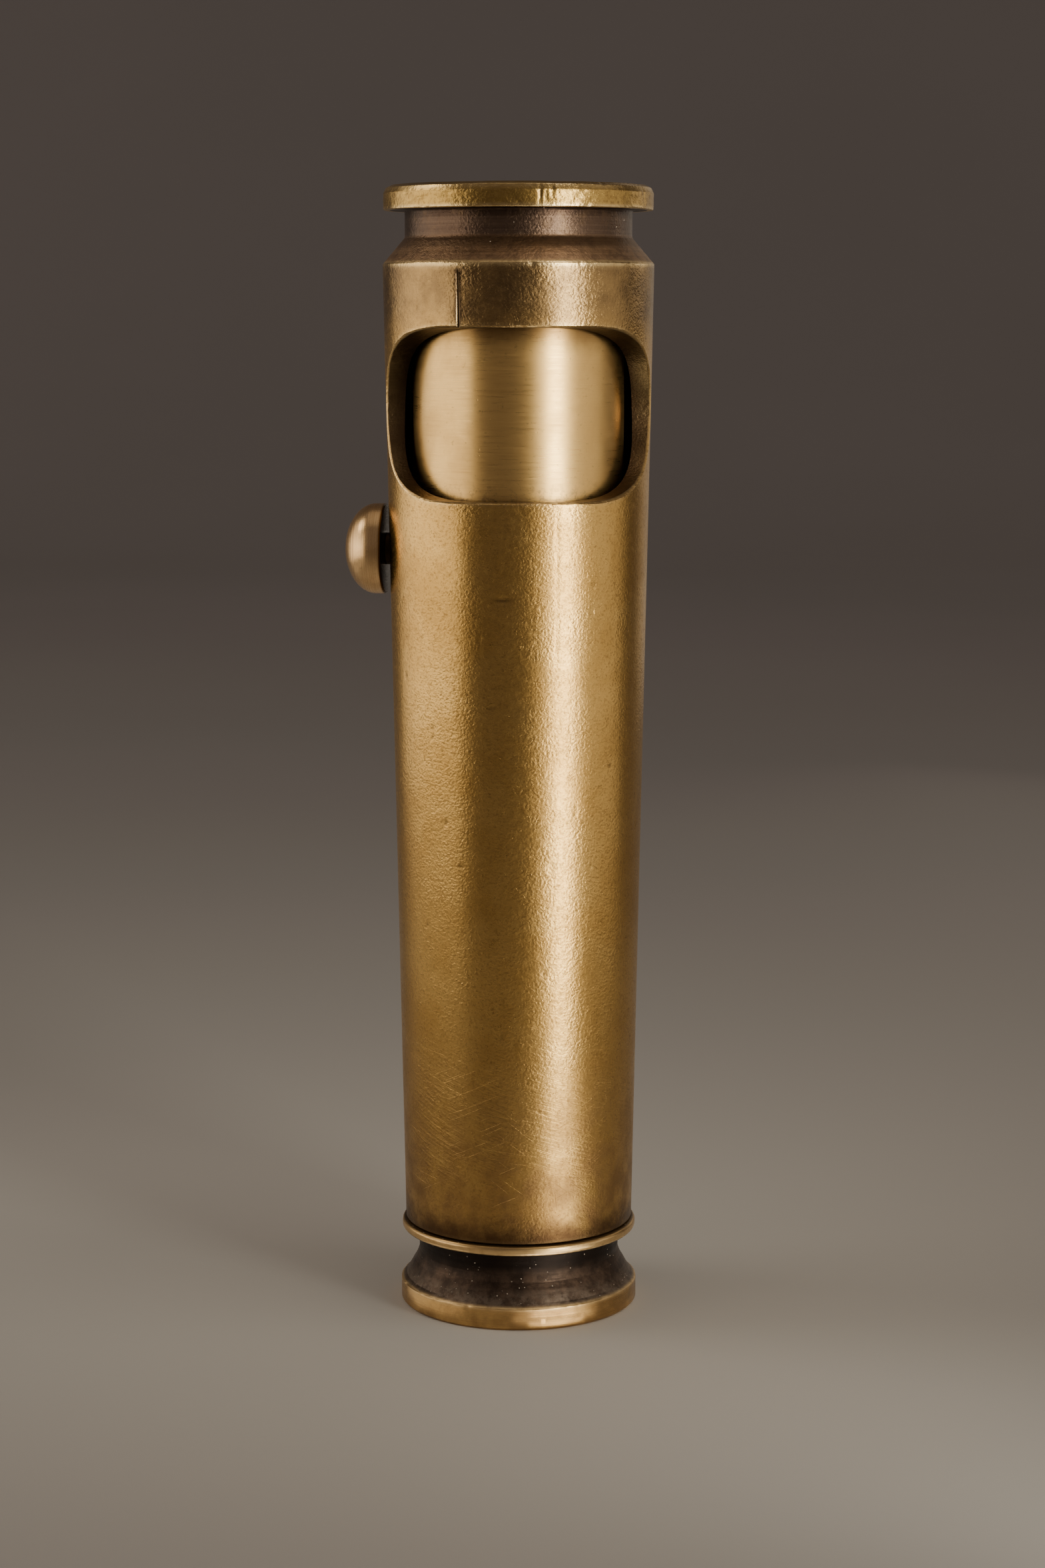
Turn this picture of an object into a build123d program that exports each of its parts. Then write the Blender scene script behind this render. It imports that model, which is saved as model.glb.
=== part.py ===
from build123d import *
import math
import os

os.makedirs("parts", exist_ok=True)

# All dimensions in mm.  Z is the long axis, z = 0 is the underside of the foot,
# -Y is the front (the window), -X is the side that carries the knob when closed.

# ---------------------------------------------------------------- case
MOUTH_R, MOUTH_Z = 9.40, 7.02            # lower end of the tapered body
SHOULDER_R, SHOULDER_Z = 10.875, 85.43   # widest point, lower edge of the head cone
GROOVE_R, GROOVE_Z = 9.09, 87.52         # extractor groove
RIM_R, RIM_Z0, RIM_Z1 = 10.80, 89.67, 91.62
RIM_BEVEL = 0.64
BORE = [(8.65, 7.02), (8.69, 9.2), (9.50, 60.0), (9.50, 66.0), (9.17, 74.0), (9.08, 80.9)]
BORE_TOP_Z, BORE_TOP_FILLET = 84.10, 1.5
PRIMER_R, PRIMER_DEPTH = 4.48, 3.35
FLASH_R, FLASH_X = 0.60, 2.30

# window, cut straight through from side to side
WIN_Z0, WIN_ZM, WIN_Z1 = 67.00, 73.62, 80.48
WIN_FLOOR_Y = -1.24
WIN_LOW, WIN_HIGH = (7.57, 1.80), (8.15, 1.91)      # depth along Y and fullness of each half's curve
INDEX_R, INDEX_AZ, INDEX_Z0 = 0.20, 25.5, 84.85

# ---------------------------------------------------------------- rotary shutter
SLEEVE_R, SLEEVE_WALL = 8.50, 0.80
SLEEVE_Z0, SLEEVE_Z1 = 57.95, 82.30
OPEN_A0, OPEN_A1 = -2.5, 169.0           # opening, degrees from +X, shutter closed
OPEN_Z0, OPEN_Z1, OPEN_CORNER = 66.50, 81.05, 1.6
KNOB_Z, KNOB_A = 62.60, 172.9            # knob height and bearing, shutter closed
TURN = 164.0                             # degrees, clockwise from above
KNOB_R, KNOB_EDGE, KNOB_DOME = 3.67, 0.86, 2.49
KNOB_BACK = 10.81                        # back face from the long axis
STEM_R = 0.95
BUSH_R, SLOT_W, SLOT_END = 1.30, 2.80, 0.6
RING_R, RING_BORE, RING_LIP = 9.46, 8.55, 7.66
RING_Z0, RING_Z1, RING_LIP_T, RING_GAP = 56.20, 60.60, 0.95, 3.0

# ---------------------------------------------------------------- base plug and tank
FOOT_R, FOOT_H = 9.81, 1.78
NECK_R, BEAD_R = 8.30, 9.71
BEAD_Z0, BEAD_Z1 = 6.12, 6.98
SEAT_R, SEAT_Z = 8.52, 11.40             # spigot inside the case mouth
ORING_Z, ORING_CORD_R, ORING_MID_R = 9.25, 0.62, 8.02
SPIGOT_R, SPIGOT_Z = 7.82, 16.0
TANK_R, TANK_BORE, TANK_Z1 = 8.45, 7.85, 54.50
POST_R, POST_BORE, FLANGE_Z1, DECK_Z0, DECK_Z1 = 7.35, 6.45, 55.70, 64.40, 66.20
POST_SPIGOT_Z0 = 50.50

# ---------------------------------------------------------------- burner
FLINT_Y = -3.10                          # flint tube and wheel
WICK_Y = 4.30
WHEEL_Z, WHEEL_R, WHEEL_W, WHEEL_TEETH, TOOTH = 73.60, 3.95, 4.20, 40, 0.30
AXLE_R, AXLE_FIT = 0.80, 0.04
EAR_IN, EAR_T, EAR_HALF, EAR_TOP = 2.42, 0.75, 2.30, 76.40
BASE_T = 0.70
TUBE_R, TUBE_BORE, TUBE_Z0, TUBE_Z1 = 2.00, 1.28, 6.60, 68.10
FLINT_R, FLINT_Z0 = 1.20, 64.40
PUSH_R, PUSH_H, PUSH_TAIL_R, PUSH_TAIL_H = 1.15, 1.60, 0.50, 2.40
SPRING_WIRE, SPRING_MID_R, SPRING_PITCH = 0.20, 0.92, 2.30
FLINT_HEAD_R, FLINT_SHANK_R, SCREW_RECESS, SCREW_HEAD = 2.15, 1.70, 0.15, 1.15
FILL_HEAD_R, FILL_SHANK_R, FILL_SEAL_T = 2.60, 1.90, 0.40
WICK_R, WICK_Z0, WICK_Z1 = 1.32, 24.0, 75.20
FERRULE_R, FERRULE_BORE, FERRULE_FLANGE, FERRULE_Z1 = 2.05, 1.36, 2.60, 71.60
PACK_R, FELT_T = 7.72, 1.60

RIM_PLANE = Plane.XZ


def revolved(points):
    """Solid of revolution about Z from (r, z) points."""
    return revolve(RIM_PLANE * make_face(Polyline(*points, close=True)), Axis.Z)


def body_r(z):
    return MOUTH_R + (z - MOUTH_Z) * (SHOULDER_R - MOUTH_R) / (SHOULDER_Z - MOUTH_Z)


def rod(r, z0, z1, x=0.0, y=0.0):
    return Pos(x, y, z0) * Cylinder(r, z1 - z0, align=(Align.CENTER, Align.CENTER, Align.MIN))


def tube(r1, r0, z0, z1, x=0.0, y=0.0):
    return rod(r1, z0, z1, x, y) - rod(r0, z0 - 1, z1 + 1, x, y)


def radial(shape, angle, z):
    """Places a shape drawn along +X at a bearing and a height."""
    return Pos(0, 0, z) * Rot(0, 0, angle) * shape


def rod_x(r, x0, x1):
    return Pos(x0, 0, 0) * Rot(0, 90, 0) * Cylinder(r, x1 - x0, align=(Align.CENTER, Align.CENTER, Align.MIN))


def sector(r1, z0, z1, a0, a1):
    """Pie slice from a0 to a1 degrees."""
    step = 15.0
    n = max(2, int(math.ceil((a1 - a0) / step)))
    pts = [(0, 0)]
    far = r1 / math.cos(math.radians((a1 - a0) / n / 2)) + 0.5
    for i in range(n + 1):
        a = math.radians(a0 + (a1 - a0) * i / n)
        pts.append((far * math.cos(a), far * math.sin(a)))
    return Pos(0, 0, z0) * extrude(make_face(Polyline(*pts, close=True)), z1 - z0)


def save(shape, name):
    solids = shape.solids()
    out = solids[0] if len(solids) == 1 else Compound(children=list(solids))
    out.label = name
    export_step(out, "parts/" + name + ".step")
    print(name, len(solids), round(sum(s.volume for s in solids), 2))


# ================================================================ case shell
outer = [
    (MOUTH_R - 0.10, MOUTH_Z), (MOUTH_R, MOUTH_Z + 0.12),
    (SHOULDER_R - 0.02, SHOULDER_Z - 0.10), (SHOULDER_R - 0.10, SHOULDER_Z + 0.02),
    (GROOVE_R, GROOVE_Z), (GROOVE_R, RIM_Z0),
    (RIM_R - 0.10, RIM_Z0), (RIM_R, RIM_Z0 + 0.10),
    (RIM_R, RIM_Z1 - RIM_BEVEL), (RIM_R - 0.21, RIM_Z1 - 0.20), (RIM_R - RIM_BEVEL, RIM_Z1),
    (PRIMER_R + 0.15, RIM_Z1), (PRIMER_R, RIM_Z1 - 0.15),
    (PRIMER_R, RIM_Z1 - PRIMER_DEPTH), (1.35, RIM_Z1 - PRIMER_DEPTH),
    (0.45, RIM_Z1 - PRIMER_DEPTH + 1.5), (0, RIM_Z1 - PRIMER_DEPTH + 1.5),
]
top_r = BORE[-1][0]
fil = []
for k in range(1, 7):
    a = math.radians(15 * k)
    fil.append((top_r - BORE_TOP_FILLET * (1 - math.cos(a)) - 0.01 * k,
                BORE_TOP_Z - BORE_TOP_FILLET + BORE_TOP_FILLET * math.sin(a)))
inner = [(0, BORE_TOP_Z)] + fil[::-1] + BORE[::-1]
shell = revolved(outer + inner)
for sx in (-1, 1):
    shell -= rod(FLASH_R, BORE_TOP_Z - 1, RIM_Z1 - PRIMER_DEPTH + 0.6, x=sx * FLASH_X)

# window: profile in the Y-Z plane, swept along X
def win_edge(depth, power, z_end, count=10):
    """Half of the window's curve, from its floor to a flat, as (y, z)."""
    pts = []
    for k in range(count + 1):
        q = math.sin(math.pi / 2 * k / count)
        pts.append((WIN_FLOOR_Y - depth * (1 - max(0.0, 1 - q ** power) ** (1 / power)), WIN_ZM + (z_end - WIN_ZM) * q))
    return pts


low = win_edge(*WIN_LOW, WIN_Z0)
high = win_edge(*WIN_HIGH, WIN_Z1)
edge_low = Spline(*low, tangents=[(0, -1), (-1, 0)])
edge_high = Spline(*high, tangents=[(0, 1), (-1, 0)])
front = -14.0
loop = [
    edge_low,
    Line(low[-1], (front, WIN_Z0)),
    Line((front, WIN_Z0), (front, WIN_Z1)),
    Line((front, WIN_Z1), high[-1]),
    edge_high,
]
win_face = Plane.YZ * make_face(Wire(Curve(children=[]).edges() + [e for w in loop for e in w.edges()]))
window = extrude(win_face, 14, both=True)
shell -= window

# curved slot for the knob, round the back
slot = sector(13.0, KNOB_Z - SLOT_W / 2, KNOB_Z + SLOT_W / 2, KNOB_A - TURN - SLOT_END, KNOB_A + SLOT_END)
slot -= rod(8.0, KNOB_Z - 5, KNOB_Z + 5)
for a in (KNOB_A - TURN - SLOT_END, KNOB_A + SLOT_END):
    slot += radial(rod_x(SLOT_W / 2, 8.3, 13.0), a, KNOB_Z)
shell -= slot

# index mark above the window, left of the front
a = math.radians(-90 - INDEX_AZ)
tilt = math.degrees(math.atan2(SHOULDER_R - MOUTH_R, SHOULDER_Z - MOUTH_Z))
mark = Rot(0, 0, -90 - INDEX_AZ) * Pos(body_r(80.0) + 0.05, 0, 80.0) * Rot(0, tilt, 0) * Cylinder(
    INDEX_R, INDEX_Z0 - 80.0, align=(Align.CENTER, Align.CENTER, Align.MIN))
shell -= mark
save(shell, "case_shell")

# ================================================================ primer cup
p0, p1 = RIM_Z1 - PRIMER_DEPTH + 0.55, RIM_Z1 - 0.14
cup = revolved([
    (PRIMER_R - 0.02, p0), (PRIMER_R - 0.02, p1 - 0.45), (PRIMER_R - 0.15, p1 - 0.13), (PRIMER_R - 0.5, p1),
    (1.30, p1), (1.12, p1 - 0.10), (0.75, p1 - 0.42), (0.35, p1 - 0.56), (0, p1 - 0.60),
    (0, p1 - 1.12), (1.0, p1 - 1.05), (1.5, p1 - 0.62), (PRIMER_R - 0.62, p1 - 0.62), (PRIMER_R - 0.62, p0),
])
save(cup, "primer_cup")

# ================================================================ guide ring (split)
ring = revolved([
    (RING_LIP, RING_Z0), (RING_R - 0.05, RING_Z0), (RING_R, RING_Z1 - 0.2), (RING_R - 0.2, RING_Z1),
    (RING_BORE + 0.2, RING_Z1), (RING_BORE, RING_Z1 - 0.2),
    (RING_BORE, RING_Z0 + RING_LIP_T), (RING_LIP, RING_Z0 + RING_LIP_T),
])
ring -= Pos(0, -8.5, (RING_Z0 + RING_Z1) / 2) * Box(RING_GAP, 4, 10)
save(ring, "guide_ring")

# ================================================================ shutter sleeve
inner_r = SLEEVE_R - SLEEVE_WALL
sleeve = revolved([
    (inner_r, SLEEVE_Z0), (SLEEVE_R - 0.12, SLEEVE_Z0), (SLEEVE_R, SLEEVE_Z0 + 0.12),
    (SLEEVE_R, SLEEVE_Z1 - 0.15), (SLEEVE_R - 0.15, SLEEVE_Z1), (inner_r, SLEEVE_Z1),
])
gate = sector(11.0, OPEN_Z0, OPEN_Z1, OPEN_A0, OPEN_A1) - rod(5.0, OPEN_Z0 - 1, OPEN_Z1 + 1)
gate_cut = gate
for a, sgn in ((OPEN_A0, 1), (OPEN_A1, -1)):
    da = math.degrees(OPEN_CORNER / SLEEVE_R)
    for z, zs in ((OPEN_Z0, 1), (OPEN_Z1, -1)):
        # leave a rounded corner: remove a small block from the cutter, add a rod back
        lo, hi = (a, a + da) if sgn > 0 else (a - da, a)
        zlo, zhi = (z, z + OPEN_CORNER) if zs > 0 else (z - OPEN_CORNER, z)
        gate_cut -= sector(12.0, zlo, zhi, lo, hi)
        gate_cut += radial(rod_x(OPEN_CORNER, 5.2, 11.0), a + sgn * da, z + zs * OPEN_CORNER)
sleeve -= gate_cut
sleeve -= radial(rod_x(STEM_R + 0.01, 5, 11), KNOB_A, KNOB_Z)
save(sleeve, "shutter_sleeve")

# ================================================================ knob and bush
dome = [(KNOB_BACK + KNOB_EDGE + KNOB_DOME * math.sin(t), KNOB_R * math.cos(t))
        for t in [math.radians(6.0 * k) for k in range(0, 16)]]
apex = KNOB_BACK + KNOB_EDGE + KNOB_DOME
pts = [(SLEEVE_R - SLEEVE_WALL + 0.03, 0), (SLEEVE_R - SLEEVE_WALL + 0.03, STEM_R), (KNOB_BACK, STEM_R),
       (KNOB_BACK, KNOB_R - 0.15), (KNOB_BACK + 0.12, KNOB_R)]
knob_wire = [Polyline(*pts, dome[0]), Spline(*dome, tangents=[(1, 0), (0, -1)]), Line(dome[-1], (pts[0][0], 0))]
knob = revolve(make_face(Wire([e for w in knob_wire for e in w.edges()])), Axis.X)
save(radial(knob, KNOB_A, KNOB_Z), "shutter_knob")

bush = rod_x(BUSH_R, 8.0, KNOB_BACK - 0.02) - rod_x(STEM_R + 0.01, 7, 12)
bush = radial(bush, KNOB_A, KNOB_Z) - rod(SLEEVE_R + 0.01, KNOB_Z - 4, KNOB_Z + 4)
save(bush, "knob_bush")

w0, w1 = RING_Z0 + RING_LIP_T + 0.01, SLEEVE_Z0 - 0.01
washer = revolved([(7.78, w0), (7.98, w0), (8.44, w1 - 0.18), (8.44, w1), (8.24, w1), (7.78, w0 + 0.18)])
save(washer, "spring_washer")

# ================================================================ base plug
plug_pts = [
    (0, 0), (FOOT_R - 0.18, 0), (FOOT_R, 0.18), (FOOT_R, FOOT_H - 0.05), (FOOT_R - 0.05, FOOT_H),
    (9.32, 2.16), (8.86, 3.05), (8.52, 3.62), (NECK_R, 4.25), (NECK_R, BEAD_Z0 - 0.12), (NECK_R + 0.12, BEAD_Z0),
    (BEAD_R - 0.28, BEAD_Z0), (BEAD_R - 0.08, BEAD_Z0 + 0.16), (BEAD_R, BEAD_Z0 + 0.40),
    (BEAD_R - 0.08, BEAD_Z1 - 0.14), (BEAD_R - 0.26, BEAD_Z1),
    (SEAT_R, BEAD_Z1), (SEAT_R, ORING_Z - ORING_CORD_R - 0.06),
    (ORING_MID_R - ORING_CORD_R - 0.01, ORING_Z - ORING_CORD_R - 0.06),
    (ORING_MID_R - ORING_CORD_R - 0.01, ORING_Z + ORING_CORD_R + 0.06),
    (SEAT_R, ORING_Z + ORING_CORD_R + 0.06), (SEAT_R, SEAT_Z - 0.2), (SEAT_R - 0.2, SEAT_Z),
    (SPIGOT_R, SEAT_Z), (SPIGOT_R, SPIGOT_Z - 0.3), (SPIGOT_R - 0.3, SPIGOT_Z), (0, SPIGOT_Z),
]
plug = revolved(plug_pts)
plug -= rod(FLINT_HEAD_R + 0.08, -1, SCREW_RECESS + SCREW_HEAD, y=FLINT_Y)
plug -= rod(FLINT_SHANK_R + 0.02, 0, 12, y=FLINT_Y)
plug -= rod(TUBE_R + 0.01, TUBE_Z0, SPIGOT_Z + 1, y=FLINT_Y)
plug -= rod(FILL_HEAD_R + 0.08, -1, SCREW_RECESS + SCREW_HEAD + FILL_SEAL_T, y=WICK_Y)
plug -= rod(FILL_SHANK_R + 0.02, 0, 9.0, y=WICK_Y)
plug -= rod(1.4, 8, SPIGOT_Z + 1, y=WICK_Y)
save(plug, "base_plug")

save(Pos(0, 0, ORING_Z) * Torus(ORING_MID_R, ORING_CORD_R), "case_o_ring")

tank = tube(TANK_R, TANK_BORE, SEAT_Z + 0.02, TANK_Z1)
save(tank, "tank_tube")

# screws with a driver slot
def screw(head_r, shank_r, z_head, head_h, shank_z, slot_w, y):
    s = rod(head_r, z_head, z_head + head_h) + rod(shank_r, z_head + head_h - 0.1, shank_z - 0.4)
    s += Pos(0, 0, shank_z - 0.4) * Cone(shank_r, shank_r - 0.4, 0.4, align=(Align.CENTER, Align.CENTER, Align.MIN))
    rings = max(3, int((shank_z - z_head - head_h) / 1.2))
    for k in range(rings):
        z = z_head + head_h + 0.9 + k * (shank_z - z_head - head_h - 1.6) / rings
        s -= tube(shank_r + 1, shank_r - 0.18, z, z + 0.32)
    s -= Pos(0, 0, z_head) * Box(2 * head_r + 2, slot_w, 1.1)
    return Pos(0, y, 0) * s


save(screw(FLINT_HEAD_R, FLINT_SHANK_R, SCREW_RECESS, SCREW_HEAD, 6.4, 0.7, FLINT_Y)
     + rod(0.75, 6.0, 9.2, y=FLINT_Y), "flint_screw")
save(screw(FILL_HEAD_R, FILL_SHANK_R, SCREW_RECESS, SCREW_HEAD, 8.8, 0.8, WICK_Y), "filler_screw")
zs = SCREW_RECESS + SCREW_HEAD
save(tube(FILL_HEAD_R - 0.1, FILL_SHANK_R + 0.02, zs + 0.01, zs + FILL_SEAL_T - 0.01, y=WICK_Y), "filler_seal")

# ================================================================ burner body
post = revolved([
    (POST_BORE, POST_SPIGOT_Z0), (SPIGOT_R, POST_SPIGOT_Z0), (SPIGOT_R, TANK_Z1 + 0.02), (TANK_R, TANK_Z1 + 0.02),
    (TANK_R, FLANGE_Z1 - 0.2), (TANK_R - 0.2, FLANGE_Z1), (POST_R, FLANGE_Z1),
    (POST_R, DECK_Z1 - 0.35), (POST_R - 0.35, DECK_Z1), (0, DECK_Z1), (0, DECK_Z0), (POST_BORE, DECK_Z0),
])
post -= rod(TUBE_R + 0.01, DECK_Z0 - 1, DECK_Z1 + 1, y=FLINT_Y)
post -= rod(FERRULE_R + 0.01, DECK_Z0 - 1, DECK_Z1 + 1, y=WICK_Y)
save(post, "burner_body")

# wick tube: flange on the deck, waisted, four air notches at the top
fer = Pos(0, WICK_Y, 0) * (revolved([
    (FERRULE_BORE, DECK_Z0 - 1.6), (FERRULE_R, DECK_Z0 - 1.6), (FERRULE_R, DECK_Z1 + 0.01),
    (FERRULE_FLANGE, DECK_Z1 + 0.01), (FERRULE_FLANGE, DECK_Z1 + 0.8), (FERRULE_R, DECK_Z1 + 1.1),
    (FERRULE_R, FERRULE_Z1 - 0.2), (FERRULE_R - 0.2, FERRULE_Z1), (FERRULE_BORE, FERRULE_Z1),
]))
for k in range(4):
    fer -= Pos(0, WICK_Y, FERRULE_Z1 - 2.0) * Rot(0, 0, 45 + 90 * k) * rod_x(0.42, 1.0, 4.0)
save(fer, "wick_ferrule")

wick = rod(WICK_R, WICK_Z0, WICK_Z1 - 0.5, y=WICK_Y)
wick += Pos(0, WICK_Y, WICK_Z1 - 0.5) * Cone(WICK_R, WICK_R - 0.35, 0.5, align=(Align.CENTER, Align.CENTER, Align.MIN))
save(wick, "wick")

pack = rod(PACK_R, SPIGOT_Z + FELT_T + 0.1, POST_SPIGOT_Z0 - 0.3)
pack -= rod(TUBE_R + 0.05, 0, 60, y=FLINT_Y)
pack -= rod(WICK_R + 0.03, WICK_Z0 - 0.2, 60, y=WICK_Y)
save(pack, "tank_packing")
felt = rod(PACK_R - 0.05, SPIGOT_Z + 0.02, SPIGOT_Z + FELT_T)
felt -= rod(TUBE_R + 0.05, 0, 60, y=FLINT_Y)
felt -= rod(1.5, 0, 60, y=WICK_Y)
save(felt, "felt_pad")

# ================================================================ flint feed
ftube = rod(TUBE_R, TUBE_Z0 + 0.02, TUBE_Z1, y=FLINT_Y)
ftube += rod(TUBE_R + 0.38, DECK_Z1 + BASE_T + 0.01, DECK_Z1 + BASE_T + 0.45, y=FLINT_Y)
ftube -= rod(TUBE_BORE, TUBE_Z0 - 1, TUBE_Z1 + 1, y=FLINT_Y)
save(ftube, "flint_tube")
flint = rod(FLINT_R, FLINT_Z0, WHEEL_Z - WHEEL_R + 0.6, y=FLINT_Y)
flint -= Pos(-5, FLINT_Y, WHEEL_Z) * rod_x(WHEEL_R + 0.04, 0, 10)
save(flint, "flint")
push = rod(PUSH_R, FLINT_Z0 - 0.01 - PUSH_H, FLINT_Z0 - 0.01, y=FLINT_Y)
push += rod(PUSH_TAIL_R, FLINT_Z0 - PUSH_H - PUSH_TAIL_H, FLINT_Z0 - PUSH_H, y=FLINT_Y)
save(push, "flint_pusher")
s0, s1 = 6.62, FLINT_Z0 - 0.02 - PUSH_H
helix = Helix(pitch=SPRING_PITCH, height=(s1 - s0) - 2 * SPRING_WIRE - 0.06, radius=SPRING_MID_R)
section = Plane(helix @ 0, z_dir=helix % 0) * Circle(SPRING_WIRE)
spring = Pos(0, FLINT_Y, s0 + SPRING_WIRE + 0.03) * sweep(section, path=helix)
save(spring, "flint_spring")

# ================================================================ wheel, axle, bracket
base = Pos(0, FLINT_Y, DECK_Z1 + 0.01) * Box(2 * (EAR_IN + EAR_T), 2 * EAR_HALF + 0.9, BASE_T - 0.01,
                                            align=(Align.CENTER, Align.CENTER, Align.MIN))
base &= rod(POST_R - 0.3, DECK_Z1 - 1, DECK_Z1 + 5)
bracket = base
for sx in (-1, 1):
    prof = [(-EAR_HALF, DECK_Z1 + 0.01), (EAR_HALF, DECK_Z1 + 0.01), (EAR_HALF, WHEEL_Z - 3.2),
            (1.65, WHEEL_Z), (1.65, WHEEL_Z + 0.01), (0, EAR_TOP - 0.8), (-1.65, WHEEL_Z + 0.01), (-1.65, WHEEL_Z),
            (-EAR_HALF, WHEEL_Z - 3.2)]
    ear = Plane.YZ * make_face(Polyline(*[(y + FLINT_Y, z) for y, z in prof], close=True))
    ear = extrude(ear, EAR_T)
    ear += Pos(0, FLINT_Y, WHEEL_Z) * rod_x(1.75, 0, EAR_T)
    ear = Pos(EAR_IN if sx > 0 else -EAR_IN - EAR_T, 0, 0) * ear
    bracket += ear
bracket -= Pos(-6, FLINT_Y, WHEEL_Z) * rod_x(AXLE_R + 0.01, 0, 12)
bracket -= rod(TUBE_R + 0.02, 60, 70, y=FLINT_Y)
save(bracket, "wheel_bracket")

half = EAR_IN + EAR_T
axle = Pos(-half - 0.02, FLINT_Y, WHEEL_Z) * rod_x(AXLE_R, 0, 2 * half + 0.04)
for sx in (-1, 1):
    head = rod_x(1.25, 0, 0.55)
    head = fillet(head.edges().filter_by(GeomType.CIRCLE).sort_by(Axis.X)[-1], 0.3)
    head = Pos(half + 0.02, FLINT_Y, WHEEL_Z) * head
    axle += head if sx > 0 else mirror(head, about=Plane.YZ)
save(axle, "wheel_axle")

teeth = []
for k in range(WHEEL_TEETH):
    a = 2 * math.pi * k / WHEEL_TEETH
    b = a + 2 * math.pi * 0.62 / WHEEL_TEETH
    c = a + 2 * math.pi * 0.78 / WHEEL_TEETH
    teeth.append(((WHEEL_R - TOOTH) * math.cos(a), (WHEEL_R - TOOTH) * math.sin(a)))
    teeth.append((WHEEL_R * math.cos(b), WHEEL_R * math.sin(b)))
    teeth.append((WHEEL_R * math.cos(c), WHEEL_R * math.sin(c)))
wheel = Plane.YZ * make_face(Polyline(*teeth, close=True))
wheel = extrude(wheel, WHEEL_W)
bevel = Rot(0, 0, 0) * revolve(make_face(Polyline(
    (0, 0), (0, WHEEL_R - 0.42), (0.40, WHEEL_R + 0.05), (WHEEL_W - 0.40, WHEEL_R + 0.05),
    (WHEEL_W, WHEEL_R - 0.42), (WHEEL_W, 0), close=True)), Axis.X)
wheel &= bevel
wheel -= rod_x(AXLE_R + AXLE_FIT, -1, 6)
for x0, x1 in ((-1, 0.35), (WHEEL_W - 0.35, WHEEL_W + 1)):
    wheel -= rod_x(2.7, x0, x1) - rod_x(1.6, x0, x1)
# a shallow waist between the two rows of teeth
wheel -= (rod_x(WHEEL_R + 1, WHEEL_W / 2 - 0.16, WHEEL_W / 2 + 0.16) - rod_x(WHEEL_R - TOOTH - 0.05, 0, WHEEL_W))
wheel = Pos(-WHEEL_W / 2, FLINT_Y, WHEEL_Z) * wheel
save(wheel, "flint_wheel")
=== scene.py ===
import math
import bpy
import numpy as np
from mathutils import Vector, Matrix, noise


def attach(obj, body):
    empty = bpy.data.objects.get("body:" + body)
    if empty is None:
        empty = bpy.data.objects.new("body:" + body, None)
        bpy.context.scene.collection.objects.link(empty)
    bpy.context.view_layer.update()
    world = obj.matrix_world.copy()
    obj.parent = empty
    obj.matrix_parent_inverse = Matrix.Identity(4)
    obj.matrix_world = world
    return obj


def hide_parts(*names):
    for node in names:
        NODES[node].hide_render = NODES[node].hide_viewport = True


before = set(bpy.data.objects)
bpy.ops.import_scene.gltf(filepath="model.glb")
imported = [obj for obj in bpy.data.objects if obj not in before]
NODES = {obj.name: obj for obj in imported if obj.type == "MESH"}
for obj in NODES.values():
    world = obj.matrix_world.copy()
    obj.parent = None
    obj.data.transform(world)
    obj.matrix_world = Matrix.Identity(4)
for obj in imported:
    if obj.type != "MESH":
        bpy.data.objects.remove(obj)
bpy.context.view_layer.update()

MM = 0.001

# ------------------------------------------------------------------ sizes, as the CAD has them (mm)
MOUTH_R, MOUTH_Z = 9.40, 7.02
SHOULDER_R, SHOULDER_Z = 10.875, 85.43
GROOVE_R, GROOVE_Z = 9.09, 87.52
RIM_R, RIM_Z0, RIM_Z1, RIM_BEVEL = 10.80, 89.67, 91.62, 0.64
BORE = [(8.65, 7.02), (8.69, 9.2), (9.50, 60.0), (9.50, 66.0), (9.17, 74.0), (9.08, 80.9)]
BORE_TOP_Z, BORE_TOP_FILLET = 84.10, 1.5
PRIMER_R, PRIMER_DEPTH, FLASH_R, FLASH_X = 4.48, 3.35, 0.60, 2.30
WIN_Z0, WIN_ZM, WIN_Z1, WIN_FLOOR_Y = 67.00, 73.62, 80.48, -1.24
WIN_LOW, WIN_HIGH = (7.57, 1.80), (8.15, 1.91)
INDEX_AZ, INDEX_Z0, INDEX_R = 25.5, 84.85, 0.20
SLEEVE_R, SLEEVE_WALL, SLEEVE_Z0, SLEEVE_Z1 = 8.50, 0.80, 57.95, 82.30
OPEN_A0, OPEN_A1, OPEN_Z0, OPEN_Z1, OPEN_CORNER = -2.5, 169.0, 66.50, 81.05, 1.6
KNOB_Z, KNOB_A, TURN = 62.60, 172.9, 164.0
KNOB_R, KNOB_EDGE, KNOB_DOME, KNOB_BACK, STEM_R = 3.67, 0.86, 2.49, 10.81, 0.95
SLOT_W, SLOT_END = 2.80, 0.6
FOOT_R, FOOT_H, NECK_R, BEAD_R, BEAD_Z0, BEAD_Z1 = 9.81, 1.78, 8.30, 9.71, 6.12, 6.98
SEAT_R, SEAT_Z, ORING_Z, ORING_CORD_R, ORING_MID_R = 8.52, 11.40, 9.25, 0.62, 8.02
SPIGOT_R, SPIGOT_Z = 7.82, 16.0
FLINT_Y, WICK_Y = -3.10, 4.30
TUBE_R, TUBE_Z0 = 2.00, 6.60
FLINT_HEAD_R, FLINT_SHANK_R, SCREW_RECESS, SCREW_HEAD = 2.15, 1.70, 0.15, 1.15
FILL_HEAD_R, FILL_SHANK_R, FILL_SEAL_T = 2.60, 1.90, 0.40
WICK_R, WICK_Z0, WICK_Z1 = 1.32, 24.0, 75.20
POST_SPIGOT_Z0, PACK_R, FELT_T = 50.50, 7.72, 1.60
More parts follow.
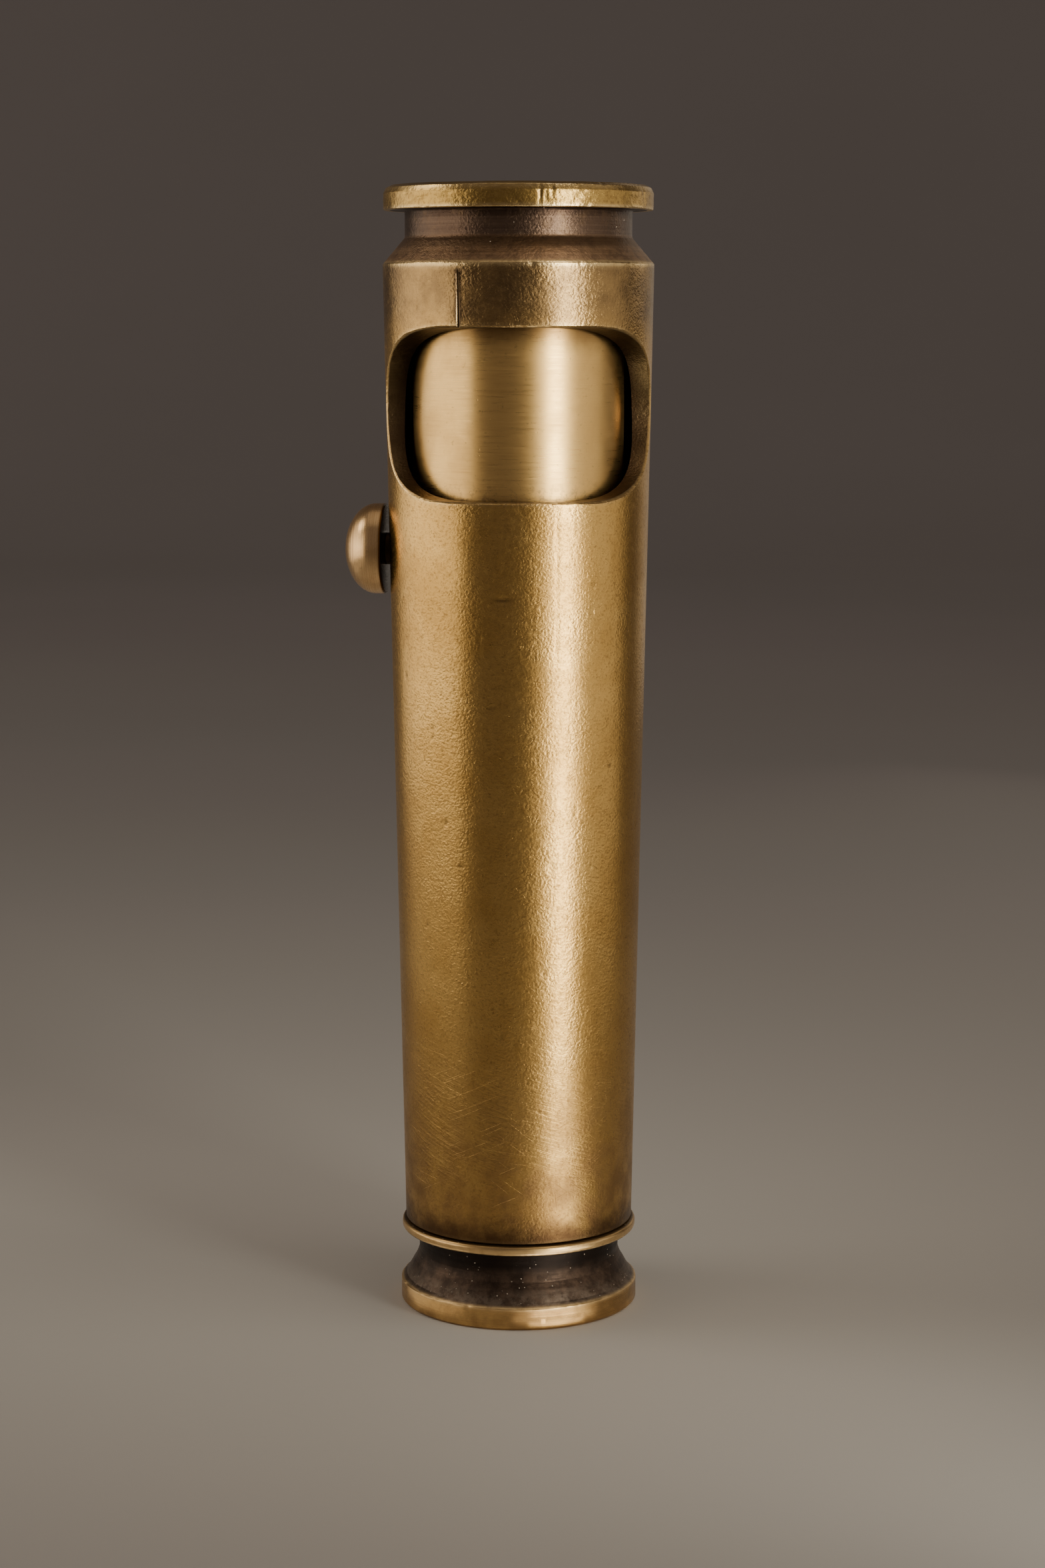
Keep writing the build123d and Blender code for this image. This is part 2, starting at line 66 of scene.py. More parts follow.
WHEEL_Z, WHEEL_R, WHEEL_W, TEETH, TOOTH, AXLE_R, AXLE_FIT = 73.60, 3.95, 4.20, 40, 0.30, 0.80, 0.04


def body_r(z):
    return MOUTH_R + (z - MOUTH_Z) * (SHOULDER_R - MOUTH_R) / (SHOULDER_Z - MOUTH_Z)


# ------------------------------------------------------------------ mesh helpers
def new_object(name, verts, faces):
    me = bpy.data.meshes.new(name)
    me.from_pydata([tuple(v) for v in verts], [], faces)
    me.validate()
    ob = bpy.data.objects.new(name, me)
    bpy.context.scene.collection.objects.link(ob)
    return ob


def dense(points, step):
    """Adds points so that no segment of a (r, z) line is longer than step (a number or one per segment)."""
    out = [points[0]]
    for i in range(1, len(points)):
        (r0, z0), (r1, z1) = points[i - 1], points[i]
        s = step[i - 1] if isinstance(step, (list, tuple)) else step
        n = max(1, int(math.ceil(math.hypot(r1 - r0, z1 - z0) / s)))
        for k in range(1, n + 1):
            out.append((r0 + (r1 - r0) * k / n, z0 + (z1 - z0) * k / n))
    return out


def rounded(points, radii, n=4):
    """Rounds the corners of an open (r, z) line. radii holds one radius per point, 0 for sharp."""
    out = [points[0]]
    for i in range(1, len(points) - 1):
        p0, p, p1 = (Vector(points[j]) for j in (i - 1, i, i + 1))
        rad = radii[i]
        a, b = (p0 - p), (p1 - p)
        la, lb = a.length, b.length
        if rad <= 0 or la < 1e-6 or lb < 1e-6:
            out.append(tuple(p))
            continue
        a.normalize(); b.normalize()
        half = math.acos(max(-1, min(1, a.dot(b)))) / 2
        if half > math.pi / 2 - 0.02:
            out.append(tuple(p))
            continue
        t = min(rad / math.tan(half), la * 0.49, lb * 0.49)
        rr = t * math.tan(half)
        c = p + (a + b).normalized() * (rr / math.sin(half))
        s, e = p + a * t, p + b * t
        v0, v1 = s - c, e - c
        ang = v0.angle_signed(v1) if v0.length and v1.length else 0
        for k in range(n + 1):
            th = -ang * k / n
            out.append((c.x + v0.x * math.cos(th) - v0.y * math.sin(th), c.y + v0.x * math.sin(th) + v0.y * math.cos(th)))
    out.append(points[-1])
    return out


def lathe(name, profile, segs, close=True):
    """Solid of revolution about Z of a (r, z) line in mm, listed so that the solid is on its left when seen in the
    half plane with r to the right. Points with r = 0 become poles."""
    rings, verts = [], []
    ang = np.linspace(0, 2 * math.pi, segs, endpoint=False)
    ca, sa = np.cos(ang), np.sin(ang)
    for r, z in profile:
        if r < 1e-6:
            rings.append([len(verts)])
            verts.append((0.0, 0.0, z * MM))
        else:
            base = len(verts)
            verts.extend(zip((r * MM * ca).tolist(), (r * MM * sa).tolist(), [z * MM] * segs))
            rings.append(list(range(base, base + segs)))
    faces = []
    n = len(rings)
    pairs = [(i, i + 1) for i in range(n - 1)] + ([(n - 1, 0)] if close and (profile[0][0] > 1e-6 or profile[-1][0] > 1e-6) else [])
    for i, j in pairs:
        a, b = rings[i], rings[j]
        if len(a) == 1 and len(b) == 1:
            continue
        for k in range(segs):
            k2 = (k + 1) % segs
            if len(a) == 1:
                faces.append((a[0], b[k2], b[k]))
            elif len(b) == 1:
                faces.append((a[k], a[k2], b[0]))
            else:
                faces.append((a[k], a[k2], b[k2], b[k]))
    ob = new_object(name, verts, faces)
    return ob


def fix_normals(ob):
    import bmesh
    bm = bmesh.new()
    bm.from_mesh(ob.data)
    bmesh.ops.recalc_face_normals(bm, faces=bm.faces)
    if bm.calc_volume(signed=True) < 0:
        bmesh.ops.reverse_faces(bm, faces=bm.faces)
    bm.to_mesh(ob.data)
    bm.free()
    return ob


def prism_x(name, yz, x0, x1):
    n = len(yz)
    verts = [(x0 * MM, y * MM, z * MM) for y, z in yz] + [(x1 * MM, y * MM, z * MM) for y, z in yz]
    faces = [tuple(range(n - 1, -1, -1)), tuple(range(n, 2 * n))]
    faces += [(i, (i + 1) % n, n + (i + 1) % n, n + i) for i in range(n)]
    return fix_normals(new_object(name, verts, faces))


def rod(name, r, z0, z1, x=0.0, y=0.0, segs=64):
    ob = lathe(name, [(0, z0), (r, z0), (r, z1), (0, z1)], segs, close=False)
    ob.data.transform(Matrix.Translation((x * MM, y * MM, 0)))
    return fix_normals(ob)


def cut(ob, cutter, op="DIFFERENCE"):
    """Boolean, applied. The cutter is removed."""
    bpy.context.view_layer.update()
    before = len(ob.data.vertices)
    for solver in ("MANIFOLD", "EXACT"):
        mod = ob.modifiers.new("cut", "BOOLEAN")
        mod.operation = op
        mod.solver = solver
        mod.object = cutter
        dg = bpy.context.evaluated_depsgraph_get()
        me = bpy.data.meshes.new_from_object(ob.evaluated_get(dg))
        ob.modifiers.clear()
        if len(me.vertices) and len(me.vertices) != before:
            old = ob.data
            ob.data = me
            bpy.data.meshes.remove(old)
            break
        bpy.data.meshes.remove(me)
        print("boolean", solver, "gave nothing on", ob.name)
    bpy.data.objects.remove(cutter)
    return ob


def finish_mesh(ob, angle=35.0, name=None):
    me = ob.data
    for p in me.polygons:
        p.use_smooth = True
    me.set_sharp_from_angle(angle=math.radians(angle))
    if name:
        me.name = name
    return ob


def coords(ob):
    co = np.empty(len(ob.data.vertices) * 3, np.float64)
    ob.data.vertices.foreach_get("co", co)
    return co.reshape(-1, 3)


def set_coords(ob, co):
    ob.data.vertices.foreach_set("co", co.astype(np.float32).ravel())
    ob.data.update()


def attribute(ob, name, values):
    a = ob.data.attributes.new(name, "FLOAT", "POINT")
    a.data.foreach_set("value", np.asarray(values, np.float32))


def tri_noise(x, y, z, seed, octaves=1):
    """Smooth value noise on arrays, 0 to 1, seeded and repeatable."""
    total, amp, norm = 0.0, 1.0, 0.0
    for o in range(octaves):
        xi, yi, zi = np.floor(x).astype(np.int64), np.floor(y).astype(np.int64), np.floor(z).astype(np.int64)
        fx, fy, fz = x - xi, y - yi, z - zi
        fx, fy, fz = (f * f * (3 - 2 * f) for f in (fx, fy, fz))

        def h(i, j, k):
            v = (i * 374761393 + j * 668265263 + k * 2147483647 + (seed + o) * 974634777) & 0xFFFFFFFF
            v = ((v ^ (v >> 13)) * 1274126177) & 0xFFFFFFFF
            return ((v ^ (v >> 16)) & 0xFFFF) / 65535.0
        c = 0
        for di in (0, 1):
            for dj in (0, 1):
                for dk in (0, 1):
                    w = (fx if di else 1 - fx) * (fy if dj else 1 - fy) * (fz if dk else 1 - fz)
                    c = c + w * h(xi + di, yi + dj, zi + dk)
        total, norm = total + amp * c, norm + amp
        x, y, z, amp = x * 2.03, y * 2.03, z * 2.03, amp * 0.5
    return total / norm


# ------------------------------------------------------------------ node material helpers
def mat_new(name):
    m = bpy.data.materials.new(name)
    m.use_nodes = True
    nt = m.node_tree
    nt.nodes.clear()
    out = nt.nodes.new("ShaderNodeOutputMaterial")
    bsdf = nt.nodes.new("ShaderNodeBsdfPrincipled")
    nt.links.new(bsdf.outputs[0], out.inputs[0])
    return m, nt, bsdf


class G:
    """Small builder for node graphs."""

    def __init__(self, nt):
        self.nt = nt
        self.tc = nt.nodes.new("ShaderNodeTexCoord")

    def link(self, a, b):
        self.nt.links.new(a, b)

    def obj(self, scale=(1, 1, 1), rot=(0, 0, 0), loc=(0, 0, 0)):
        mp = self.nt.nodes.new("ShaderNodeMapping")
        mp.inputs["Scale"].default_value = scale
        mp.inputs["Rotation"].default_value = rot
        mp.inputs["Location"].default_value = loc
        self.link(self.tc.outputs["Object"], mp.inputs["Vector"])
        return mp.outputs[0]

    def uv(self, scale=(1, 1, 1), rot=(0, 0, 0), loc=(0, 0, 0), name="turn"):
        u = self.nt.nodes.new("ShaderNodeUVMap")
        u.uv_map = name
        src = u.outputs[0]
        if any(rot):                                         # turned first, so that the streaks lie at that angle
            tn = self.nt.nodes.new("ShaderNodeMapping")
            tn.inputs["Rotation"].default_value = rot
            self.link(src, tn.inputs["Vector"])
            src = tn.outputs[0]
        mp = self.nt.nodes.new("ShaderNodeMapping")
        mp.inputs["Scale"].default_value = scale
        mp.inputs["Location"].default_value = loc
        self.link(src, mp.inputs["Vector"])
        return mp.outputs[0]

    def noise(self, vec, scale, detail=4.0, rough=0.55, dist=0.0, color=False):
        n = self.nt.nodes.new("ShaderNodeTexNoise")
        n.inputs["Scale"].default_value = scale
        n.inputs["Detail"].default_value = detail
        n.inputs["Roughness"].default_value = rough
        n.inputs["Distortion"].default_value = dist
        self.link(vec, n.inputs["Vector"])
        return n.outputs["Color" if color else "Fac"]

    def voronoi(self, vec, scale, feature="F1", out="Distance", rand=1.0):
        n = self.nt.nodes.new("ShaderNodeTexVoronoi")
        n.feature = feature
        n.inputs["Scale"].default_value = scale
        n.inputs["Randomness"].default_value = rand
        self.link(vec, n.inputs["Vector"])
        return n.outputs[out]

    def ramp(self, fac, stops, interp="LINEAR"):
        r = self.nt.nodes.new("ShaderNodeValToRGB")
        r.color_ramp.interpolation = interp
        e = r.color_ramp.elements
        while len(e) < len(stops):
            e.new(0.5)
        for el, (pos, col) in zip(e, stops):
            el.position = pos
            el.color = (col, col, col, 1) if isinstance(col, (int, float)) else (*col, 1)
        self.link(fac, r.inputs[0])
        return r.outputs[0]

    def map(self, v, a, b, c=0.0, d=1.0, smooth=True):
        n = self.nt.nodes.new("ShaderNodeMapRange")
        n.interpolation_type = "SMOOTHSTEP" if smooth else "LINEAR"
        n.inputs["From Min"].default_value = a
        n.inputs["From Max"].default_value = b
        n.inputs["To Min"].default_value = c
        n.inputs["To Max"].default_value = d
        self.link(v, n.inputs["Value"])
        return n.outputs[0]

    def math(self, op, a, b=None, clamp=False):
        n = self.nt.nodes.new("ShaderNodeMath")
        n.operation = op
        n.use_clamp = clamp
        for i, v in enumerate((a, b)):
            if v is None:
                continue
            if isinstance(v, (int, float)):
                n.inputs[i].default_value = v
            else:
                self.link(v, n.inputs[i])
        return n.outputs[0]

    def mix(self, fac, a, b, mode="MIX"):
        n = self.nt.nodes.new("ShaderNodeMix")
        n.data_type = "RGBA"
        n.blend_type = mode
        n.clamp_factor = True
        for sock, v in ((n.inputs[0], fac), (n.inputs[6], a), (n.inputs[7], b)):
            if isinstance(v, (int, float)):
                sock.default_value = v
            elif isinstance(v, tuple):
                sock.default_value = (*v, 1) if len(v) == 3 else v
            else:
                self.link(v, sock)
        return n.outputs[2]

    def attr(self, name):
        n = self.nt.nodes.new("ShaderNodeAttribute")
        n.attribute_name = name
        return n.outputs["Fac"]

    def xyz(self):
        n = self.nt.nodes.new("ShaderNodeSeparateXYZ")
        self.link(self.tc.outputs["Object"], n.inputs[0])
        return n.outputs

    def bump(self, height, strength, dist, normal=None):
        n = self.nt.nodes.new("ShaderNodeBump")
        n.inputs["Strength"].default_value = strength
        n.inputs["Distance"].default_value = dist
        self.link(height, n.inputs["Height"])
        if normal is not None:
            self.link(normal, n.inputs["Normal"])
        return n.outputs[0]


def assign(ob, mat):
    if ob.data.materials:
        for i in range(len(ob.data.materials)):
            ob.data.materials[i] = mat
    else:
        ob.data.materials.append(mat)


def turned_uv(ob, scale_r=10.0):
    """UV in mm: u along the circumference at scale_r, v = height. The seam is at the back."""
    me = ob.data
    co = coords(ob) / MM
    nl = len(me.loops)
    vi = np.empty(nl, np.int32)
    me.loops.foreach_get("vertex_index", vi)
    ls = np.empty(len(me.polygons), np.int32)
    me.polygons.foreach_get("loop_start", ls)
    tot = np.empty(len(me.polygons), np.int32)
    me.polygons.foreach_get("loop_total", tot)
    th = np.arctan2(co[:, 0], -co[:, 1])[vi]      # 0 at the front, seam at the back
    r = np.hypot(co[:, 0], co[:, 1])[vi]
    poly = np.repeat(np.arange(len(ls)), tot)
    mx = np.full(len(ls), -9.0)
    np.maximum.at(mx, poly, th)
    th = np.where((mx[poly] - th) > math.pi, th + 2 * math.pi, th)
    uv = np.stack([th * scale_r, co[vi, 2] + (scale_r - r) * 0.0], 1)
    lay = me.uv_layers.new(name="turn")
    lay.data.foreach_set("uv", uv.astype(np.float32).ravel())


# ================================================================== case shell, rebuilt at high resolution
def build_case():
    peg = [(MOUTH_R - 0.16, MOUTH_Z), (MOUTH_R, MOUTH_Z + 0.14), (SHOULDER_R, SHOULDER_Z), (GROOVE_R, GROOVE_Z),
           (GROOVE_R, RIM_Z0), (RIM_R, RIM_Z0), (RIM_R, RIM_Z1 - RIM_BEVEL), (RIM_R - 0.21, RIM_Z1 - 0.20),
           (RIM_R - RIM_BEVEL, RIM_Z1), (PRIMER_R + 0.05, RIM_Z1), (PRIMER_R, RIM_Z1 - 0.08)]
    rad = [0, 0.10, 0.16, 0.35, 0.22, 0.09, 0.10, 0.12, 0.16, 0.06, 0]
    outer = rounded(peg, rad, 4)
    steps = []
    for a, b in zip(outer[:-1], outer[1:]):
        z = (a[1] + b[1]) / 2
        r = (a[0] + b[0]) / 2
        if z > RIM_Z1 - 0.02:
            steps.append(0.35)
        elif z > 85.3 or z < 7.6:
            steps.append(0.12)
        else:
            steps.append(0.26)
    outer = dense(outer, steps)
    inside = [(PRIMER_R, RIM_Z1 - PRIMER_DEPTH), (1.35, RIM_Z1 - PRIMER_DEPTH),
              (0.45, RIM_Z1 - PRIMER_DEPTH + 1.5), (0, RIM_Z1 - PRIMER_DEPTH + 1.5)]
    top_r = BORE[-1][0]
    fil = []
    for k in range(1, 10):
        a = math.radians(10 * k)
        fil.append((top_r - BORE_TOP_FILLET * (1 - math.cos(a)) - 0.005 * k,
                    BORE_TOP_Z - BORE_TOP_FILLET + BORE_TOP_FILLET * math.sin(a)))
    bore = dense([(0, BORE_TOP_Z)] + fil[::-1] + BORE[::-1], 1.6)
    ob = lathe("case_body", outer + inside + bore, 480)
    fix_normals(ob)
    # window: profile in the Y-Z plane, cut through from side to side

    def win_edge(depth, power, z_end, count=40):
        pts = []
        for k in range(count + 1):
            q = math.sin(math.pi / 2 * k / count)
            pts.append((WIN_FLOOR_Y - depth * (1 - max(0.0, 1 - q ** power) ** (1 / power)), WIN_ZM + (z_end - WIN_ZM) * q))
        return pts
    low, high = win_edge(*WIN_LOW, WIN_Z0), win_edge(*WIN_HIGH, WIN_Z1)
    yz = low + [(-14.0, WIN_Z0), (-14.0, WIN_Z1)] + high[:0:-1]
    cut(ob, prism_x("cut_window", yz, -14, 14))
    # the outer edge of the window is broken with a small, uneven chamfer
    side = high[::-1] + low[1:]                              # top flat -> floor -> bottom flat, y-z
    loop = []

    def on_cone(y, z, sx):
        r = body_r(z)
        return Vector((sx * math.sqrt(max(0, r * r - y * y)), y, z))
    for (y, z) in side:                                      # right side, downwards
        loop.append(on_cone(y, z, 1))
    rb = body_r(WIN_Z0)
    a0 = math.atan2(loop[-1].x, -loop[-1].y)
    for k in range(1, 24):
        a = a0 * (1 - 2 * k / 24)
        loop.append(Vector((rb * math.sin(a), -rb * math.cos(a), WIN_Z0)))
    for (y, z) in side[::-1]:
        loop.append(on_cone(y, z, -1))
    rt = body_r(WIN_Z1)
    a0 = math.atan2(loop[-1].x, -loop[-1].y)
    for k in range(1, 24):
        a = a0 * (1 - 2 * k / 24)
        loop.append(Vector((rt * math.sin(a), -rt * math.cos(a), WIN_Z1)))
    clean = [loop[0]]
    for p in loop[1:]:
        if (p - clean[-1]).length > 0.03:
            clean.append(p)
    if (clean[0] - clean[-1]).length < 0.03:
        clean.pop()
    loop = clean
    m = len(loop)
    mid = Vector((0, -5.0, (WIN_Z0 + WIN_Z1) / 2))
    verts, faces = [], []
    for i, p in enumerate(loop):
        t = (loop[(i + 1) % m] - loop[i - 1]).normalized()
        nrm = Vector((p.x, p.y, 0)).normalized()
        nrm = (nrm - nrm.dot(t) * t).normalized()
        wall_n = Vector((1, 0, 0)).cross(t)
        if wall_n.length < 0.35:
            wall_n = Vector((0, 0, 1 if p.z > mid.z else -1))
        wall_n = (wall_n - wall_n.dot(t) * t).normalized()
        if wall_n.dot(Vector((0, p.y - mid.y if abs(p.x) > 5 else 0, (p.z - mid.z) * 2))) < 0:
            wall_n = -wall_n
        mdir = t.cross(nrm).normalized()
        if mdir.dot(wall_n) < 0:
            mdir = -mdir
        w = wall_n.cross(t).normalized()
        if w.dot(nrm) > 0:
            w = -w
        c = 0.14 + 0.06 * noise.noise(Vector((p.x * 0.9, p.y * 0.9, p.z * 0.9))) + 0.02 * noise.noise(Vector((p.x * 4, p.y * 4, p.z * 4)))
        if p.x > 0 and p.z < WIN_ZM:                         # most worn at the lower right
            c += 0.07 * min(1.0, p.x / 6)
        c = max(0.07, c)
        a, b = p + mdir * c, p + w * c
        aa, bb = a + (a - b) * 0.6, b + (b - a) * 0.6
        cc = p - (mdir + w) * c * 1.1
        verts += [aa * MM, bb * MM, cc * MM]
    for i in range(m):
        j = (i + 1) % m
        for k in range(3):
            k2 = (k + 1) % 3
            faces.append((3 * i + k, 3 * i + k2, 3 * j + k2, 3 * j + k))
    cut(ob, fix_normals(new_object("cut_chamfer", verts, faces)))
    # slot for the knob, round the back
    seg, ra, rb2 = [], 8.2, 13.0
    h = SLOT_W / 2
    a1, a2 = KNOB_A - TURN - SLOT_END, KNOB_A + SLOT_END
    outline = []                                             # (angle, z) closed outline with round ends
    for k in range(0, 61):
        outline.append((a1 + (a2 - a1) * k / 60, -h))
    for k in range(1, 16):
        q = math.pi * k / 16
        outline.append((a2 + math.degrees(h * math.sin(q) / 10.44), -h * math.cos(q)))
    for k in range(0, 61):
        outline.append((a2 - (a2 - a1) * k / 60, h))
    for k in range(1, 16):
        q = math.pi * k / 16
        outline.append((a1 - math.degrees(h * math.sin(q) / 10.44), h * math.cos(q)))
    verts = []
    for r in (ra, rb2):
        for a, z in outline:
            q = math.radians(a)
            verts.append((r * math.cos(q) * MM, r * math.sin(q) * MM, (KNOB_Z + z) * MM))
    k = len(outline)
    # caps as strips between the lower and the upper run, so that nothing is concave
    faces = [(i, (i + 1) % k, k + (i + 1) % k, k + i) for i in range(k)]
    half = k // 2
    for base in (0, k):
        i, j = 0, k - 1
        while j - i > 1:
            if j - i == 2:
                faces.append((base + i, base + i + 1, base + j))
                break
            faces.append((base + i, base + i + 1, base + j - 1, base + j))
            i, j = i + 1, j - 1
    cut(ob, fix_normals(new_object("cut_slot", verts, faces)))
    for sx in (-1, 1):
        cut(ob, rod("cut_flash", FLASH_R, BORE_TOP_Z - 1, RIM_Z1 - PRIMER_DEPTH + 0.6, x=sx * FLASH_X, segs=32))
    # index mark: a shallow engraved line
    q = math.radians(-90 - INDEX_AZ)
    top, bot = INDEX_Z0, WIN_Z1 - 0.6
    verts, faces = [], []
    ring = 10
    for z, s in ((bot, 1.0), (top - 0.25, 1.0), (top, 0.35)):
        r = body_r(z) + 0.06
        c = Vector((r * math.cos(q), r * math.sin(q), z))
        e1, e2 = Vector((math.cos(q), math.sin(q), 0)), Vector((-math.sin(q), math.cos(q), 0))
        for k in range(ring):
            a = 2 * math.pi * k / ring
            verts.append((c + e1 * (INDEX_R * s * math.cos(a)) + e2 * (INDEX_R * s * math.sin(a))) * MM)
    for lvl in range(2):
        for k in range(ring):
            k2 = (k + 1) % ring
            faces.append((lvl * ring + k, lvl * ring + k2, (lvl + 1) * ring + k2, (lvl + 1) * ring + k))
    faces += [tuple(range(ring - 1, -1, -1)), tuple(range(2 * ring, 3 * ring))]
    cut(ob, fix_normals(new_object("cut_index", verts, faces)))

    # dents, nicks and turned lines, moved into the outer skin only
    co = coords(ob) / MM
    x, y, z = co[:, 0], co[:, 1], co[:, 2]
    r = np.hypot(x, y)
    th = np.arctan2(x, -y)
    ro = np.select([z <= SHOULDER_Z, z <= GROOVE_Z, z <= RIM_Z0],
                   [MOUTH_R + (z - MOUTH_Z) * (SHOULDER_R - MOUTH_R) / (SHOULDER_Z - MOUTH_Z),
                    SHOULDER_R + (z - SHOULDER_Z) * (GROOVE_R - SHOULDER_R) / (GROOVE_Z - SHOULDER_Z),
                    np.full_like(z, GROOVE_R)], RIM_R)
    skin = np.clip(1 - np.abs(r - ro) / 0.30, 0, 1) * (r > 8.9)
    skin = np.where((z > RIM_Z0 - 0.05) & (r > 9.4), 1.0, skin)
    body = (z < SHOULDER_Z + 0.1).astype(float)
    groove = ((z > SHOULDER_Z + 0.25) & (z < RIM_Z0 - 0.05)).astype(float)
    rim = (z > RIM_Z0 - 0.02).astype(float) * (r > 9.6)
    arc = th * 10.4
    d = np.zeros_like(z)
    d += body * -0.018 * (tri_noise(x / 5.0, y / 5.0, z / 9.0, 11, 2) - 0.5)
    pk = tri_noise(x / 0.55, y / 0.55, z / 0.55, 5, 2)
    d += body * -0.004 * np.clip(z - 60, 0, 20) / 20 * (pk - 0.5)
    # turned steps in the groove and on its cone
    lines = tri_noise(np.zeros_like(z), np.zeros_like(z), z / 0.16, 3, 1) - 0.5
    d += groove * 0.012 * lines
    # rim: hammered look, soft dents and a few sharp nicks
    face = 1 - 0.7 * np.clip((z - (RIM_Z1 - 0.62)) / 0.35, 0, 1)
    w = tri_noise(x / 1.5, y / 1.5, z / 0.55, 21, 3)
    d += rim * face * -0.10 * np.clip(w - 0.47, 0, 1)
    w2 = tri_noise(x / 0.42, y / 0.42, z / 0.30, 37, 2)
    d += rim * face * -0.055 * np.clip(w2 - 0.50, 0, 1)
    rng = np.random.default_rng(7)
    mid_z = (RIM_Z0 + RIM_Z1) / 2
    # (bearing from the front, height, half length, half height, depth)
    nicks = [(-0.95, RIM_Z1 - 0.75, 0.45, 0.12, 0.05), (-0.80, RIM_Z1 - 1.15, 0.90, 0.10, 0.05),
             (-0.55, RIM_Z1 - 0.95, 0.50, 0.14, 0.06), (-0.62, RIM_Z1 - 0.55, 0.70, 0.08, 0.035),
             (-0.76, RIM_Z0 + 0.08, 0.35, 0.08, 0.05), (-0.70, RIM_Z0 + 0.05, 0.20, 0.08, 0.05),
             (-0.13, RIM_Z0 + 0.35, 0.30, 0.12, 0.06), (0.0, RIM_Z0 + 0.30, 0.25, 0.14, 0.06),
             (0.155, mid_z, 0.10, 0.80, 0.07), (0.200, mid_z - 0.1, 0.07, 0.50, 0.05),
             (0.245, RIM_Z1 - 0.55, 0.12, 0.55, 0.08), (0.25, RIM_Z1, 0.18, 0.14, 0.10),
             (0.42, RIM_Z0 + 0.40, 0.20, 0.20, 0.04), (0.55, RIM_Z0 + 0.50, 0.30, 0.10, 0.04),
             (0.52, RIM_Z0 + 0.12, 0.25, 0.10, 0.06), (0.67, RIM_Z1 - 0.12, 0.15, 0.12, 0.08),
             (1.15, mid_z, 0.10, 0.60, 0.05)]
    for _ in range(34):
        a = rng.uniform(-math.pi, math.pi)
        if abs(a) < 1.3:
            continue
        nicks.append((a, rng.uniform(RIM_Z0, RIM_Z1 - 0.1), rng.uniform(0.12, 0.8), rng.uniform(0.07, 0.25), rng.uniform(0.02, 0.08)))
    for a, zc, sa, sz, depth in nicks:
        da = (th - a + math.pi) % (2 * math.pi) - math.pi
        q = (da * 10.8 / sa) ** 2 + ((z - zc) / sz) ** 2
        d += rim * -depth * np.exp(-q * 1.2)
    # shoulder edge nicks and small knocks on the body
    knocks = [(math.radians(-33), 82.3, 0.16, 0.05), (math.radians(-12), SHOULDER_Z - 0.1, 0.35, 0.04)]
    cut_a, cut_z = math.radians(-7.0), 59.35
    da = (th - cut_a + math.pi) % (2 * math.pi) - math.pi
    q = (da * 10.45 / 0.62) ** 2 + ((z - cut_z) / 0.15) ** 2
    d += body * -0.13 * np.exp(-q * 1.4)
    da = (th - math.radians(16.9) + math.pi) % (2 * math.pi) - math.pi
    d += body * -0.014 * np.exp(-(da * 10.45 / 0.10) ** 2) * np.clip((z - 53.5) / 2, 0, 1) * np.clip((66.6 - z) / 0.5, 0, 1)
    da = (th - cut_a + math.pi) % (2 * math.pi) - math.pi
    nick_mask = body * np.exp(-((da * 10.45 / 0.66) ** 2 + ((z - cut_z - 0.02) / 0.15) ** 2) * 1.2) * (r > 9.9)
    # small pits and ticks on the front of the body: bearing, height, half width, half height, depth, how dark
    for a, zc, sa, sz, depth, dark in ((-42.0, 48.95, 0.15, 0.12, 0.10, 1), (-12.2, 50.75, 0.24, 0.10, 0.09, 1),
                                       (-42.3, 48.25, 0.10, 0.10, 0.07, 1), (-42.0, 57.6, 0.08, 0.40, 0.04, 0.3),
                                       (-16.9, 56.3, 0.09, 0.50, 0.05, 0), (46.1, 45.9, 0.14, 0.10, 0.06, 0.8),
                                       (-61.4, 52.9, 0.20, 0.12, 0.07, 0.8), (-36.7, 51.95, 0.13, 0.10, 0.06, 0.8),
                                       (-47.0, 82.0, 0.10, 0.22, 0.06, 0.8), (-26.0, 54.9, 0.55, 0.07, 0.03, 0.3),
                                       (-35.0, 41.5, 0.16, 0.10, 0.06, 0.9), (-27.0, 38.2, 0.30, 0.12, 0.06, 0.9),
                                       (-48.0, 33.0, 0.14, 0.12, 0.07, 0.9), (12.0, 29.5, 0.20, 0.10, 0.05, 0.6),
                                       (-8.0, 24.5, 0.12, 0.30, 0.05, 0.4), (35.0, 60.5, 0.12, 0.12, 0.05, 0.6)):
        dq = (th - math.radians(a) + math.pi) % (2 * math.pi) - math.pi
        q = (dq * 10.3 / sa) ** 2 + ((z - zc) / sz) ** 2
        d += body * -depth * np.exp(-q * 1.3)
        nick_mask = np.maximum(nick_mask, dark * body * np.exp(-q * 1.1) * (r > 9.0))
    for _ in range(16):
        knocks.append((rng.uniform(-math.pi, math.pi), SHOULDER_Z - 0.05, rng.uniform(0.12, 0.4), rng.uniform(0.02, 0.06)))
    for _ in range(120):
        knocks.append((rng.uniform(-math.pi, math.pi), rng.uniform(9, 84), rng.uniform(0.16, 0.5), rng.uniform(0.008, 0.03)))
    for a, zc, s, depth in knocks:
        da = (th - a + math.pi) % (2 * math.pi) - math.pi
        near = (np.abs(z - zc) < 4 * s) & (np.abs(da) * 10.5 < 4 * s)
        q = (da[near] * 10.5) ** 2 / (s * s) + (z[near] - zc) ** 2 / (s * s)
        d[near] += -depth * np.exp(-q * 1.6)
    d *= skin
    co[:, 0] += d * x / np.maximum(r, 1e-6)
    co[:, 1] += d * y / np.maximum(r, 1e-6)
